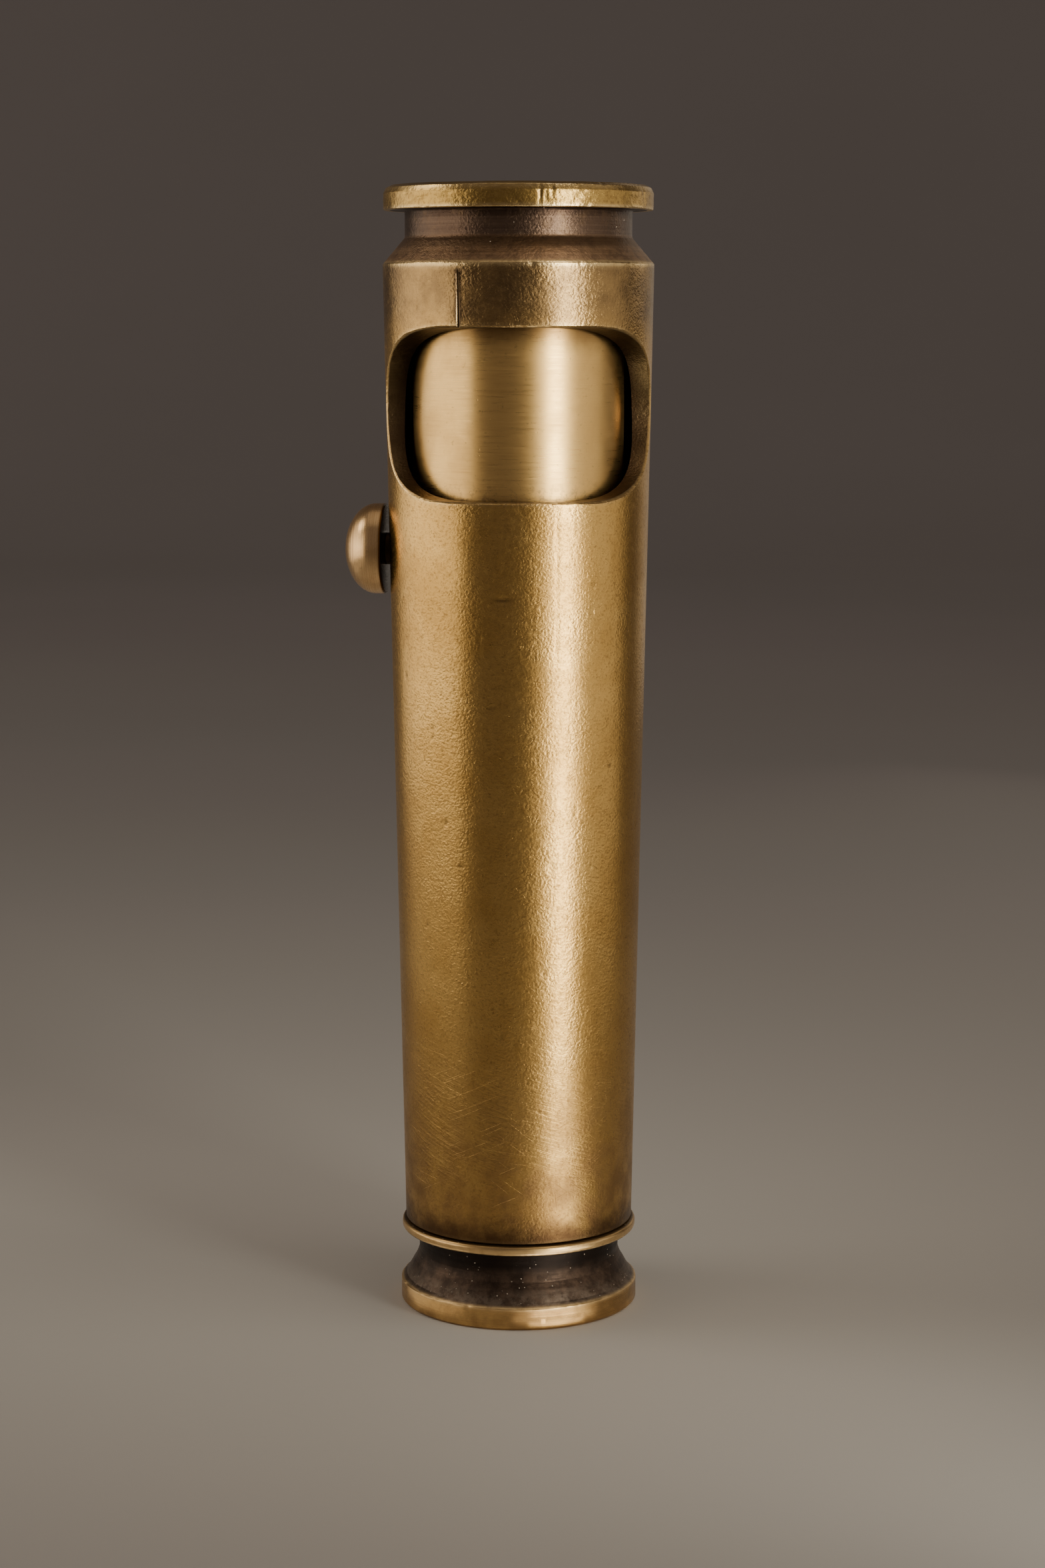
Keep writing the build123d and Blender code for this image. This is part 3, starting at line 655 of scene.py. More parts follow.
    # the rim's top edge also loses a little height where it is knocked
    topw = rim * (r > 9.9) * np.clip((z - (RIM_Z1 - 0.5)) / 0.4, 0, 1)
    co[:, 2] -= topw * 0.05 * np.clip(tri_noise(x / 1.6, y / 1.6, z * 0, 51, 2) - 0.45, 0, 1)
    set_coords(ob, co * MM)

    # how worn bright each point is: near the edges that hands reach
    dist = np.full(len(z), 9.0)
    lo = np.array([tuple(p) for p in loop])
    near = (z > WIN_Z0 - 1) & (z < WIN_Z1 + 1) & (y < 0.5)
    idx = np.nonzero(near)[0]
    P = np.stack([x, y, z], 1)
    for s in range(0, len(idx), 4000):
        ii = idx[s:s + 4000]
        dd = np.sqrt(((P[ii, None, :] - lo[None, :, :]) ** 2).sum(2)).min(1)
        dist[ii] = dd
    edge_w = np.exp(-(dist / 0.20) ** 2)
    edge_w = np.maximum(edge_w, np.exp(-(((z - SHOULDER_Z + 0.04) / 0.20) ** 2)) * (np.abs(r - SHOULDER_R) < 0.3))
    edge_w = np.maximum(edge_w, np.exp(-(((z - RIM_Z0 - 0.06) / 0.16) ** 2)) * (r > 10.3))
    edge_w = np.maximum(edge_w, 0.7 * np.exp(-(((z - RIM_Z1 + 0.25) / 0.22) ** 2)) * (r > 10.2))
    edge_w = np.maximum(edge_w, 0.15 * np.exp(-(((z - MOUTH_Z - 0.05) / 0.14) ** 2)))
    at_window = (z > WIN_Z0 - 0.05) & (z < WIN_Z1 + 0.05) & (y < WIN_FLOOR_Y + 0.06)
    edge_w = np.where(at_window & (r < ro - 0.05) & (r > 8.0), edge_w * 0.2, edge_w)
    attribute(ob, "wear", edge_w)
    pat = ((z > SHOULDER_Z + 0.12) & (z < RIM_Z0 + 0.02)) * 1.0 * (r < 10.83)
    pat = np.where((z > RIM_Z0 - 0.02) & (z < RIM_Z0 + 0.02) & (r < RIM_R - 0.12), 1.0, pat)
    attribute(ob, "patina", pat)
    attribute(ob, "rimmask", rim)
    inner = ((r < ro - 0.45) & (z < 86)).astype(float)
    attribute(ob, "inner", inner)
    # mask of the window's inner walls; their colour is darkened as painted shade
    wall = ((r < ro - 0.05) & (r > 8.0) & at_window).astype(float)
    attribute(ob, "wall", wall)
    q = math.radians(-90 - INDEX_AZ)
    along = (x * math.cos(q) + y * math.sin(q))
    off = -x * math.sin(q) + y * math.cos(q)                 # + is towards the right of the mark
    inside = (z > WIN_Z1 - 0.1) & (z < INDEX_Z0 + 0.05) & (along > 0)
    attribute(ob, "mark", np.maximum(np.where(inside & (r > 9.8), np.clip((0.34 - np.abs(off)) / 0.09, 0, 1), 0.0), nick_mask * 0.9))
    finish_mesh(ob, 32)
    turned_uv(ob)
    return ob


# ================================================================== brass, as seen on the case
def brass_case():
    m, nt, b = mat_new("aged_case_brass")
    g = G(nt)
    mm = g.obj((1000, 1000, 1000))
    x, y, z = g.xyz()
    wear, pat, rimk, inner = g.attr("wear"), g.attr("patina"), g.attr("rimmask"), g.attr("inner")
    wall = g.attr("wall")
    mark = g.attr("mark")
    # colour: polished metal, tan tarnish in clouds, brown in the pores
    cloud = g.noise(mm, 0.16, 5, 0.62, 0.4)
    fine = g.noise(mm, 2.6, 6, 0.7)
    base = g.mix(g.map(cloud, 0.36, 0.66), (0.78, 0.490, 0.160), (0.62, 0.370, 0.112))
    base = g.mix(g.map(fine, 0.50, 0.78, 0.0, 0.50), base, (0.36, 0.195, 0.060))
    # short curled creases, as in a skin that was rolled and then handled
    c1 = g.noise(mm, 2.3, 2, 0.5, 0.9)
    crease = g.map(g.math("ABSOLUTE", g.math("SUBTRACT", c1, 0.5)), 0.0, 0.022, 1.0, 0.0)
    cm = g.map(g.noise(mm, 1.25, 3, 0.6), 0.55, 0.62)
    crease = g.math("MULTIPLY", crease, cm)
    pores = g.map(g.voronoi(mm, 3.1), 0.0, 0.20, 1.0, 0.0)
    pores = g.math("MULTIPLY", pores, g.map(g.noise(mm, 0.55, 3, 0.6), 0.52, 0.62))
    base = g.mix(g.math("MULTIPLY", pores, 0.75), base, (0.12, 0.058, 0.018))
    base = g.mix(g.math("MULTIPLY", crease, 0.65), base, (0.16, 0.080, 0.028))
    base = g.mix(g.map(g.noise(mm, 5.2, 2, 0.5, 0.3), 0.50, 0.72, 0.0, 0.42), base, (0.30, 0.165, 0.055))
    # the band above the window is duller and greyer
    bz = g.math("ADD", z, g.math("MULTIPLY", g.math("SUBTRACT", g.noise(mm, 0.30, 3, 0.55), 0.5), 0.0036))
    band = g.map(bz, 0.0780, 0.0822)
    band = g.math("MULTIPLY", band, g.map(z, 0.0896, 0.0893))
    bandc = g.mix(g.map(g.noise(mm, 0.45, 5, 0.65), 0.35, 0.68), (0.38, 0.245, 0.108), (0.22, 0.142, 0.072))
    base = g.mix(g.math("MULTIPLY", band, 0.9), base, bandc)
    # browner towards the mouth; nearly black at it, partly tarnish and partly a painted dark reflection
    low = g.map(z, 0.030, 0.0080, 0.0, 0.88)
    low = g.math("MULTIPLY", low, g.map(g.noise(mm, 0.5, 4, 0.6), 0.3, 0.7, 0.4, 1.0))
    base = g.mix(low, base, (0.25, 0.140, 0.058))
    # the dark ring at the mouth is partly tarnish and partly painted dark reflection
    mouth = g.math("ADD", z, g.math("MULTIPLY", g.math("SUBTRACT", g.noise(mm, 0.6, 5, 0.7), 0.5), 0.0035))
    ring = g.map(mouth, 0.0098, 0.0070, 0.0, 0.92)
    base = g.mix(ring, base, (0.085, 0.045, 0.022))
    # rim: yellower
    base = g.mix(g.math("MULTIPLY", rimk, 0.75), base, g.mix(g.map(fine, 0.40, 0.70), (0.50, 0.335, 0.105), (0.25, 0.152, 0.050)))
    base = g.mix(g.math("MULTIPLY", inner, 0.8), base, (0.17, 0.105, 0.055))
    # painted shade on the window's inner walls, darkest towards the top
    base = g.mix(g.math("MULTIPLY", wall, 0.94), base, g.mix(g.map(z, 0.0725, 0.0770), g.mix(g.map(fine, 0.45, 0.75), (0.110, 0.066, 0.036), (0.055, 0.032, 0.018)), (0.022, 0.012, 0.007)))
    # patina in the groove, in turned rings, with the crests rubbed, and painted shade under the rim
    rings = g.noise(g.obj((60, 60, 9000)), 1.0, 3, 0.6)
    patc = g.mix(g.map(rings, 0.35, 0.72), (0.105, 0.066, 0.046), (0.150, 0.098, 0.068))
    # painted shade: darker at the top of the groove, under the rim's overhang
    patc = g.mix(g.map(z, 0.08875, 0.08935, 0.0, 0.7), patc, (0.045, 0.026, 0.018))
    patc = g.mix(g.map(g.noise(mm, 0.9, 5, 0.7), 0.48, 0.78, 0, 0.55), patc, (0.17, 0.105, 0.058))
    cone = g.math("MULTIPLY", pat, g.map(z, 0.08775, 0.08735))
    patc = g.mix(cone, patc, g.mix(g.map(rings, 0.30, 0.75), (0.250, 0.150, 0.084), (0.345, 0.215, 0.122)))
    patc = g.mix(g.math("MULTIPLY", cone, g.map(g.noise(mm, 1.2, 5, 0.7), 0.42, 0.68, 0.0, 0.6)), patc, (0.105, 0.062, 0.038))
    patc = g.mix(g.math("MULTIPLY", cone, g.map(z, 0.08640, 0.08700, 0.0, 0.55)), patc, (0.075, 0.044, 0.028))
    base = g.mix(pat, base, patc)
    speck = g.map(g.voronoi(mm, 1.15), 0.050, 0.085, 1.0, 0.0)
    speck = g.math("MULTIPLY", speck, g.map(g.noise(mm, 0.8, 2, 0.5), 0.53, 0.58))
    speck = g.math("MULTIPLY", speck, pat)
    base = g.mix(speck, base, (0.50, 0.42, 0.34))
    base = g.mix(g.math("MULTIPLY", mark, 0.80), base, (0.070, 0.042, 0.026))
    wfac = g.math("MULTIPLY", wear, g.map(g.noise(mm, 1.3, 4, 0.65), 0.25, 0.60, 0.45, 1.0))
    base = g.mix(wfac, base, (0.90, 0.66, 0.32))
    nt.links.new(base, b.inputs["Base Color"])
    metal = g.math("SUBTRACT", 1.0, g.math("MULTIPLY", pat, 0.10))
    metal = g.math("SUBTRACT", metal, g.math("MULTIPLY", cone, 0.08))
    metal = g.math("SUBTRACT", metal, speck, clamp=True)
    nt.links.new(metal, b.inputs["Metallic"])
    # roughness
    rg = g.map(cloud, 0.3, 0.7, 0.215, 0.285, smooth=False)
    rg = g.math("ADD", rg, g.map(fine, 0.45, 0.8, 0.0, 0.14))
    rg = g.math("ADD", rg, g.math("MULTIPLY", pores, 0.25))
    rg = g.math("ADD", rg, g.math("MULTIPLY", pat, 0.05))
    rg = g.math("ADD", rg, g.math("MULTIPLY", cone, 0.10))
    rg = g.math("ADD", rg, g.math("MULTIPLY", wall, 0.10))
    rg = g.math("ADD", rg, g.math("MULTIPLY", low, 0.17))
    rg = g.math("SUBTRACT", rg, g.math("MULTIPLY", wfac, 0.05), clamp=True)
    nt.links.new(rg, b.inputs["Roughness"])
    # relief: orange peel, stronger on the top band, pits, dings and hand scratches
    top = g.map(z, 0.0785, 0.0815, 0.55, 1.0)
    patch = g.map(g.noise(mm, 0.20, 2, 0.5), 0.35, 0.60, 0.55, 1.0)
    peel = g.noise(mm, 2.6, 2, 0.5, 0.4)
    peel = g.math("MULTIPLY", peel, g.math("MULTIPLY", top, patch))
    n1 = g.bump(peel, 1.0, 0.000024)
    skin = g.noise(mm, 5.2, 2, 0.5, 0.3)
    skin = g.math("MULTIPLY", skin, g.math("MULTIPLY", g.map(z, 0.0785, 0.0815, 0.85, 1.0), patch))
    n1 = g.bump(skin, 1.0, 0.000028, n1)
    grit = g.noise(mm, 9.0, 3, 0.6)
    n2 = g.bump(grit, 0.7, 0.0000050, n1)
    pit = g.map(g.voronoi(mm, 1.25), 0.0, 0.13, 1.0, 0.0)
    pit = g.math("MULTIPLY", pit, g.map(g.noise(mm, 0.6, 2, 0.5), 0.54, 0.60))
    n3 = g.bump(g.math("SUBTRACT", 1.0, pit), 0.5, 0.000005, n2)
    n3 = g.bump(g.math("SUBTRACT", 1.0, crease), 0.6, 0.000004, n3)
    n4 = g.bump(g.map(pores, 0, 1, 1, 0), 0.5, 0.000004, n3)
    # scratches: four directions, strongest in the hand-polished zone near the mouth
    zone = g.map(z, 0.026, 0.013, 0.12, 1.0)
    zone = g.math("MULTIPLY", zone, g.map(z, 0.0096, 0.0105))
    total = None
    for rot, sc, th0 in ((0.12, (0.11, 5.2, 1), 0.66), (0.62, (0.16, 6.0, 1), 0.68), (-0.42, (0.13, 6.6, 1), 0.67),
                         (1.45, (0.08, 7.0, 1), 0.72)):
        s = g.noise(g.uv(sc, (0, 0, rot)), 1.0, 2, 0.5)
        s = g.map(s, th0, th0 + 0.05)
        total = s if total is None else g.math("MAXIMUM", total, s)
    total = g.math("MULTIPLY", total, zone)
    sweep = g.noise(g.uv((0.30, 4.2, 1), (0, 0, 0.32)), 1.0, 3, 0.55)
    swz = g.math("MULTIPLY", g.map(z, 0.0262, 0.0185), g.map(z, 0.0105, 0.0130))
    n4 = g.bump(g.math("MULTIPLY", sweep, swz), 1.0, 0.000038, n4)
    n5 = g.bump(g.math("SUBTRACT", 1.0, total), 0.9, 0.000011, n4)
    # turned lines in the groove
    tl = g.noise(g.obj((40, 40, 14000)), 1.0, 3, 0.7)
    n6 = g.bump(g.math("MULTIPLY", tl, pat), 1.0, 0.0000030, n5)
    nt.links.new(n6, b.inputs["Normal"])
    return m


def brass_turned(name, light, dark, rough=(0.20, 0.34), lines=1.0, axis="z", stain=0.35, along=45, contrast=0.45, extra=None):
    """Turned or brushed brass with fine lines round an axis."""
    m, nt, b = mat_new(name)
    g = G(nt)
    mm = g.obj((1000, 1000, 1000))
    if axis == "z":
        vec = g.obj((along, along, 9000))
        vec2 = g.obj((2 * along, 2 * along, 26000))
    else:
        mp = g.obj((1000, 1000, 1000), (0, 0, 0))
        vr = nt.nodes.new("ShaderNodeVectorRotate")
        vr.rotation_type = "Z_AXIS"
        vr.inputs["Angle"].default_value = -math.radians(KNOB_A)
        nt.links.new(mp, vr.inputs["Vector"])
        sp = nt.nodes.new("ShaderNodeSeparateXYZ")
        nt.links.new(vr.outputs[0], sp.inputs[0])
        dz = g.math("SUBTRACT", sp.outputs[2], KNOB_Z)
        rr = g.math("SQRT", g.math("ADD", g.math("MULTIPLY", sp.outputs[1], sp.outputs[1]), g.math("MULTIPLY", dz, dz)))
        cb = nt.nodes.new("ShaderNodeCombineXYZ")
        nt.links.new(g.math("MULTIPLY", rr, 7.0), cb.inputs[0])
        nt.links.new(g.math("MULTIPLY", sp.outputs[0], 7.0), cb.inputs[1])
        vec = cb.outputs[0]
        cb2 = nt.nodes.new("ShaderNodeCombineXYZ")
        nt.links.new(g.math("MULTIPLY", rr, 22.0), cb2.inputs[0])
        nt.links.new(g.math("MULTIPLY", sp.outputs[0], 22.0), cb2.inputs[1])
        vec2 = cb2.outputs[0]
    l1 = g.noise(vec, 1.0, 4, 0.65)
    l2 = g.noise(vec2, 1.0, 2, 0.6)
    cloud = g.noise(mm, 0.30, 5, 0.6, 0.3)
    spots = g.noise(mm, 2.2, 5, 0.7)
    col = g.mix(g.map(cloud, 0.35, 0.68, 0, stain * 1.6), light, dark)
    col = g.mix(g.map(l1, 0.45, 0.72, 0, contrast), col, dark)
    col = g.mix(g.map(spots, 0.60, 0.76, 0, 0.6), col, tuple(c * 0.35 for c in dark))
    if extra:
        col = extra(g, mm, col)
    nt.links.new(col, b.inputs["Base Color"])
    b.inputs["Metallic"].default_value = 1.0
    rg = g.map(l1, 0.3, 0.7, rough[0], rough[1], smooth=False)
    rg = g.math("ADD", rg, g.map(cloud, 0.4, 0.8, 0.0, 0.08))
    nt.links.new(rg, b.inputs["Roughness"])
    n1 = g.bump(l1, 0.7 * lines, 0.0000045)
    n2 = g.bump(l2, 0.6 * lines, 0.0000016, n1)
    n3 = g.bump(g.map(g.voronoi(mm, 1.1), 0.0, 0.10, 0.0, 1.0), 0.5, 0.000012, n2)
    nt.links.new(n3, b.inputs["Normal"])
    return m


def steel(name, col, rough=0.32, scale=(3000, 300, 3000)):
    m, nt, b = mat_new(name)
    g = G(nt)
    mm = g.obj((1000, 1000, 1000))
    streak = g.noise(g.obj(scale), 1.0, 4, 0.6)
    cloud = g.noise(mm, 0.8, 5, 0.6)
    c = g.mix(g.map(cloud, 0.35, 0.7, 0, 0.7), col, tuple(v * 0.55 for v in col))
    c = g.mix(g.map(g.noise(mm, 3.0, 4, 0.7), 0.62, 0.75, 0, 0.6), c, (0.16, 0.10, 0.06))
    nt.links.new(c, b.inputs["Base Color"])
    b.inputs["Metallic"].default_value = 1.0
    nt.links.new(g.map(streak, 0.3, 0.7, rough - 0.06, rough + 0.12, smooth=False), b.inputs["Roughness"])
    nt.links.new(g.bump(g.noise(mm, 6, 3, 0.6), 0.5, 0.000004, g.bump(streak, 0.5, 0.000004)), b.inputs["Normal"])
    return m


def dull(name, col, col2, rough=0.85, scale=1.5, relief=0.00004, sheen=0.0):
    m, nt, b = mat_new(name)
    g = G(nt)
    mm = g.obj((1000, 1000, 1000))
    n = g.noise(mm, scale, 6, 0.65)
    nt.links.new(g.mix(g.map(n, 0.35, 0.7), col, col2), b.inputs["Base Color"])
    nt.links.new(g.map(n, 0.3, 0.7, rough - 0.1, min(1.0, rough + 0.1), smooth=False), b.inputs["Roughness"])
    nt.links.new(g.bump(g.noise(mm, scale * 3, 5, 0.7), 0.8, relief), b.inputs["Normal"])
    if sheen:
        b.inputs["Sheen Weight"].default_value = sheen
    return m


case = build_case()
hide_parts("case_shell")
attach(case, "case")
assign(case, brass_case())
print("case verts", len(case.data.vertices))

# ================================================================== sleeve
def build_sleeve():
    ir = SLEEVE_R - SLEEVE_WALL
    prof = rounded([(ir, SLEEVE_Z0 + 0.1), (ir + 0.1, SLEEVE_Z0), (SLEEVE_R - 0.12, SLEEVE_Z0), (SLEEVE_R, SLEEVE_Z0 + 0.12),
                    (SLEEVE_R, SLEEVE_Z1 - 0.15), (SLEEVE_R - 0.15, SLEEVE_Z1), (ir + 0.1, SLEEVE_Z1), (ir, SLEEVE_Z1 - 0.1)],
                   [0, 0.05, 0.06, 0.06, 0.07, 0.07, 0.05, 0], 3)
    prof = dense(prof, 0.6)
    ob = fix_normals(lathe("shutter_cylinder", prof + [prof[0]] if False else prof, 360))
    # opening with rounded corners, drawn on the unrolled wall and pushed through it
    a0, a1 = math.radians(OPEN_A0), math.radians(OPEN_A1)
    R = SLEEVE_R
    ca = OPEN_CORNER / R
    out = []
    corners = [(a0 + ca, OPEN_Z0 + OPEN_CORNER, 180, 270), (a1 - ca, OPEN_Z0 + OPEN_CORNER, 270, 360),
               (a1 - ca, OPEN_Z1 - OPEN_CORNER, 0, 90), (a0 + ca, OPEN_Z1 - OPEN_CORNER, 90, 180)]
    for a, z, s, e in corners:
        for k in range(9):
            q = math.radians(s + (e - s) * k / 8)
            out.append((a + ca * math.cos(q), z + OPEN_CORNER * math.sin(q)))
    # lower run, right side, upper run, left side, as columns so that the caps stay quads
    lower = out[4:14] ; upper = out[22:32][::-1]
    cols = 90
    grid = []
    for k in range(cols + 1):
        a = a0 + (a1 - a0) * k / cols
        # lower and upper z at this angle, round at the corners
        da = min(a - a0, a1 - a)
        if da >= ca:
            zl, zu = OPEN_Z0, OPEN_Z1
        else:
            f = 1 - da / ca
            drop = OPEN_CORNER * (1 - math.sqrt(max(0, 1 - f * f)))
            zl, zu = OPEN_Z0 + drop, OPEN_Z1 - drop
        grid.append((a, zl, zu))
    # finer columns in the corners
    fine = []
    for k in range(13):
        f = math.sin(math.pi / 2 * (k / 12))
        fine.append(1 - math.cos(math.pi / 2 * k / 12))
    cols = sorted(set([a0 + ca * v for v in fine] + [a1 - ca * v for v in fine] + [g[0] for g in grid if a0 + ca < g[0] < a1 - ca]))
    verts, faces = [], []
    for a in cols:
        da = max(0.0, min(a - a0, a1 - a))
        f = max(0.0, 1 - da / ca)
        drop = OPEN_CORNER * (1 - math.sqrt(max(0, 1 - f * f)))
        zl, zu = OPEN_Z0 + drop, OPEN_Z1 - drop
        for r in (6.9, 9.6):
            for z in (zl, zu):
                verts.append((r * math.cos(a) * MM, r * math.sin(a) * MM, z * MM))
    n = len(cols)
    for i in range(n - 1):
        p, q = 4 * i, 4 * (i + 1)
        faces += [(p, p + 1, q + 1, q), (p + 2, q + 2, q + 3, p + 3), (p, q, q + 2, p + 2), (p + 1, p + 3, q + 3, q + 1)]
    faces += [(0, 2, 3, 1), (4 * n - 4, 4 * n - 3, 4 * n - 1, 4 * n - 2)]
    cut(ob, fix_normals(new_object("cut_gate", verts, faces)))
    hole = lathe("cut_hole", [(0, 5.0), (STEM_R + 0.01, 5.0), (STEM_R + 0.01, 11.0), (0, 11.0)], 32, close=False)
    hole.data.transform(Matrix.Translation((0, 0, KNOB_Z * MM)) @ Matrix.Rotation(math.radians(KNOB_A), 4, "Z")
                        @ Matrix.Rotation(math.radians(90), 4, "Y"))
    cut(ob, fix_normals(hole))
    finish_mesh(ob, 32)
    turned_uv(ob)
    return ob


sleeve = build_sleeve()
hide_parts("shutter_sleeve")
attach(sleeve, "shutter")


def sleeve_shade_and_dust(g, mm, col):
    """Painted shade under the window's upper edge, and dust that has settled at its lower edge."""
    x, y, z = g.xyz()
    zz = g.math("ADD", z, g.math("MULTIPLY", g.math("SUBTRACT", g.noise(mm, 0.35, 4, 0.6), 0.5), 0.0020))
    # painted shade: the sleeve is darkened towards its top, where the window's upper edge shades it
    col = g.mix(g.map(zz, 0.0780, 0.0806, 0.0, 0.80), col, (0.20, 0.105, 0.040))
    low = g.map(zz, 0.0690, 0.0668)
    low = g.math("MULTIPLY", low, g.map(g.noise(mm, 1.6, 6, 0.75), 0.48, 0.66, 0.0, 0.8))
    return g.mix(low, col, (0.34, 0.205, 0.095))


def knob_back_shade(g, mm, col):
    # painted shade: the knob's back face and stem, in the gap against the body, are made nearly black
    return g.mix(g.attr("back_shade"), col, (0.030, 0.018, 0.010))


assign(sleeve, brass_turned("brushed_sleeve_brass", (0.90, 0.590, 0.220), (0.66, 0.400, 0.140), (0.25, 0.34), 1.0, "z", 0.25, 330, 0.22, sleeve_shade_and_dust))

# ================================================================== knob
def build_knob():
    a = [(KNOB_BACK + KNOB_EDGE + KNOB_DOME * math.sin(t), KNOB_R * math.cos(t)) for t in [math.pi / 2 * k / 40 for k in range(1, 41)]]
    pts = [(SLEEVE_R - SLEEVE_WALL + 0.03, 0.0), (SLEEVE_R - SLEEVE_WALL + 0.03, STEM_R), (KNOB_BACK, STEM_R),
           (KNOB_BACK, KNOB_R - 0.14), (KNOB_BACK + 0.14, KNOB_R), (KNOB_BACK + KNOB_EDGE, KNOB_R)]
    prof = [(r, x) for x, r in pts]
    prof = rounded(prof, [0, 0.02, 0.1, 0.07, 0.07, 0], 3) + [(r, x) for x, r in a]
    prof = [(max(0.0, r), x) for r, x in prof]
    prof[-1] = (0.0, prof[-1][1])
    prof = dense(prof, 0.10)
    # fine turning marks in the dome, with a small centre left by the tool
    out = []
    for r, x in prof:
        if x > KNOB_BACK + 0.2 and 0.05 < r:
            x += (0.006 * math.sin(r * 19.0) + 0.004 * math.sin(r * 43.0 + 1.0)) * min(1, (KNOB_R - r) / 0.4)
        out.append((r, x))
    ob = lathe("turned_knob", out, 192, close=False)
    ob.data.transform(Matrix.Translation((0, 0, KNOB_Z * MM)) @ Matrix.Rotation(math.radians(KNOB_A), 4, "Z")
                      @ Matrix.Rotation(math.radians(90), 4, "Y"))
    fix_normals(ob)
    co = coords(ob) / MM
    q = math.radians(KNOB_A)
    out = co[:, 0] * math.cos(q) + co[:, 1] * math.sin(q)
    # painted shade mask: 1 on the knob's back face and stem, fading out just in front of the back face
    attribute(ob, "back_shade", np.clip(1 - (out - KNOB_BACK - 0.10) / 0.10, 0, 1))
    return finish_mesh(ob, 40)


knob = build_knob()
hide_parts("shutter_knob")
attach(knob, "shutter")
assign(knob, brass_turned("turned_knob_brass", (0.95, 0.640, 0.320), (0.56, 0.330, 0.150), (0.20, 0.31), 3.2, "x", 0.3, 45, 0.85, knob_back_shade))

# ================================================================== base plug
def build_plug():
    pts = [(0, 0), (FOOT_R - 0.2, 0), (FOOT_R, 0.2), (FOOT_R, FOOT_H), (9.36, 2.14), (8.86, 3.05), (8.52, 3.62), (NECK_R, 4.25),
           (NECK_R, BEAD_Z0), (BEAD_R, BEAD_Z0), (BEAD_R, BEAD_Z1), (SEAT_R, BEAD_Z1),
           (SEAT_R, ORING_Z - ORING_CORD_R - 0.06), (ORING_MID_R - ORING_CORD_R - 0.01, ORING_Z - ORING_CORD_R - 0.06),
           (ORING_MID_R - ORING_CORD_R - 0.01, ORING_Z + ORING_CORD_R + 0.06), (SEAT_R, ORING_Z + ORING_CORD_R + 0.06),
           (SEAT_R, SEAT_Z - 0.2), (SEAT_R - 0.2, SEAT_Z), (SPIGOT_R, SEAT_Z), (SPIGOT_R, SPIGOT_Z - 0.3),
           (SPIGOT_R - 0.3, SPIGOT_Z), (0, SPIGOT_Z)]
    rad = [0, 0.08, 0.08, 0.07, 0.10, 0.4, 0.4, 0.4, 0.25, 0.34, 0.34, 0.05, 0.03, 0.03, 0.03, 0.03, 0.05, 0.05, 0.03, 0.1, 0.1, 0]
    prof = dense(rounded(pts, rad, 6), 0.14)
    ob = fix_normals(lathe("base_body", prof, 360, close=False))
    cut(ob, rod("c", FLINT_HEAD_R + 0.08, -1, SCREW_RECESS + SCREW_HEAD, y=FLINT_Y))
    cut(ob, rod("c", FLINT_SHANK_R + 0.02, 0.5, 12, y=FLINT_Y))
    cut(ob, rod("c", TUBE_R + 0.01, TUBE_Z0, SPIGOT_Z + 1, y=FLINT_Y))
    cut(ob, rod("c", FILL_HEAD_R + 0.08, -1, SCREW_RECESS + SCREW_HEAD + FILL_SEAL_T, y=WICK_Y))
    cut(ob, rod("c", FILL_SHANK_R + 0.02, 0.5, 9.0, y=WICK_Y))
    cut(ob, rod("c", 1.4, 8, SPIGOT_Z + 1, y=WICK_Y))
    co = coords(ob) / MM
    x, y, z = co[:, 0], co[:, 1], co[:, 2]
    r = np.hypot(x, y)
    neck = ((z > FOOT_H + 0.02) & (z < BEAD_Z0 + 0.02) & (r > 8.0)).astype(float)
    bead = ((z > BEAD_Z0 - 0.01) & (z < BEAD_Z1 + 0.02) & (r > 8.9)).astype(float)
    side = ((z > 0.0) & (z < FOOT_H + 0.03) & (r > 9.5)).astype(float)
    d = neck * 0.02 * (tri_noise(z * 0, z * 0, z / 0.22, 9, 2) - 0.5) - neck * 0.03 * (tri_noise(x / 0.8, y / 0.8, z / 0.8, 4, 2) - 0.5)
    d -= bead * 0.06 * np.clip(tri_noise(x / 1.6, y / 1.6, z / 0.6, 14, 2) - 0.5, 0, 1)
    d -= side * 0.012 * np.clip(tri_noise(x / 0.7, y / 0.7, z / 0.5, 15, 2) - 0.58, 0, 1)
    rng = np.random.default_rng(3)
    th = np.arctan2(x, -y)
    for _ in range(22):
        a, zc, s, depth = rng.uniform(-math.pi, math.pi), FOOT_H - 0.02, rng.uniform(0.1, 0.35), rng.uniform(0.02, 0.07)
        da = (th - a + math.pi) % (2 * math.pi) - math.pi
        d -= (r > 9.5) * (z < 2.2) * depth * np.exp(-((da * 9.8) ** 2 + (z - zc) ** 2) / (s * s) * 1.5)
    co[:, 0] += d * x / np.maximum(r, 1e-6)
    co[:, 1] += d * y / np.maximum(r, 1e-6)
    set_coords(ob, co * MM)
    # dark grime on the neck, whose colour also carries painted shadow under the bead, and the dark joint on the bead's
    # top where the case sits
    neck_grime_shade_mask = np.where((z > FOOT_H + 0.03) & (z < BEAD_Z0 + 0.20) & (r > 8.0) & (r < 9.72), 1.0, 0.0)
    neck_grime_shade_mask = np.maximum(neck_grime_shade_mask, 0.75 * ((z > BEAD_Z1 - 0.30) & (z < BEAD_Z1 + 0.05) & (r < BEAD_R - 0.10) & (r > 8.3)).astype(float))
    attribute(ob, "neck", neck_grime_shade_mask)
    wear = np.exp(-((z - FOOT_H) / 0.13) ** 2) * (r > 9.5)
    wear = np.maximum(wear, bead * np.clip((r - BEAD_R + 0.12) / 0.10, 0, 1) * 0.8)
    attribute(ob, "wear", wear)
    finish_mesh(ob, 32)
    return ob


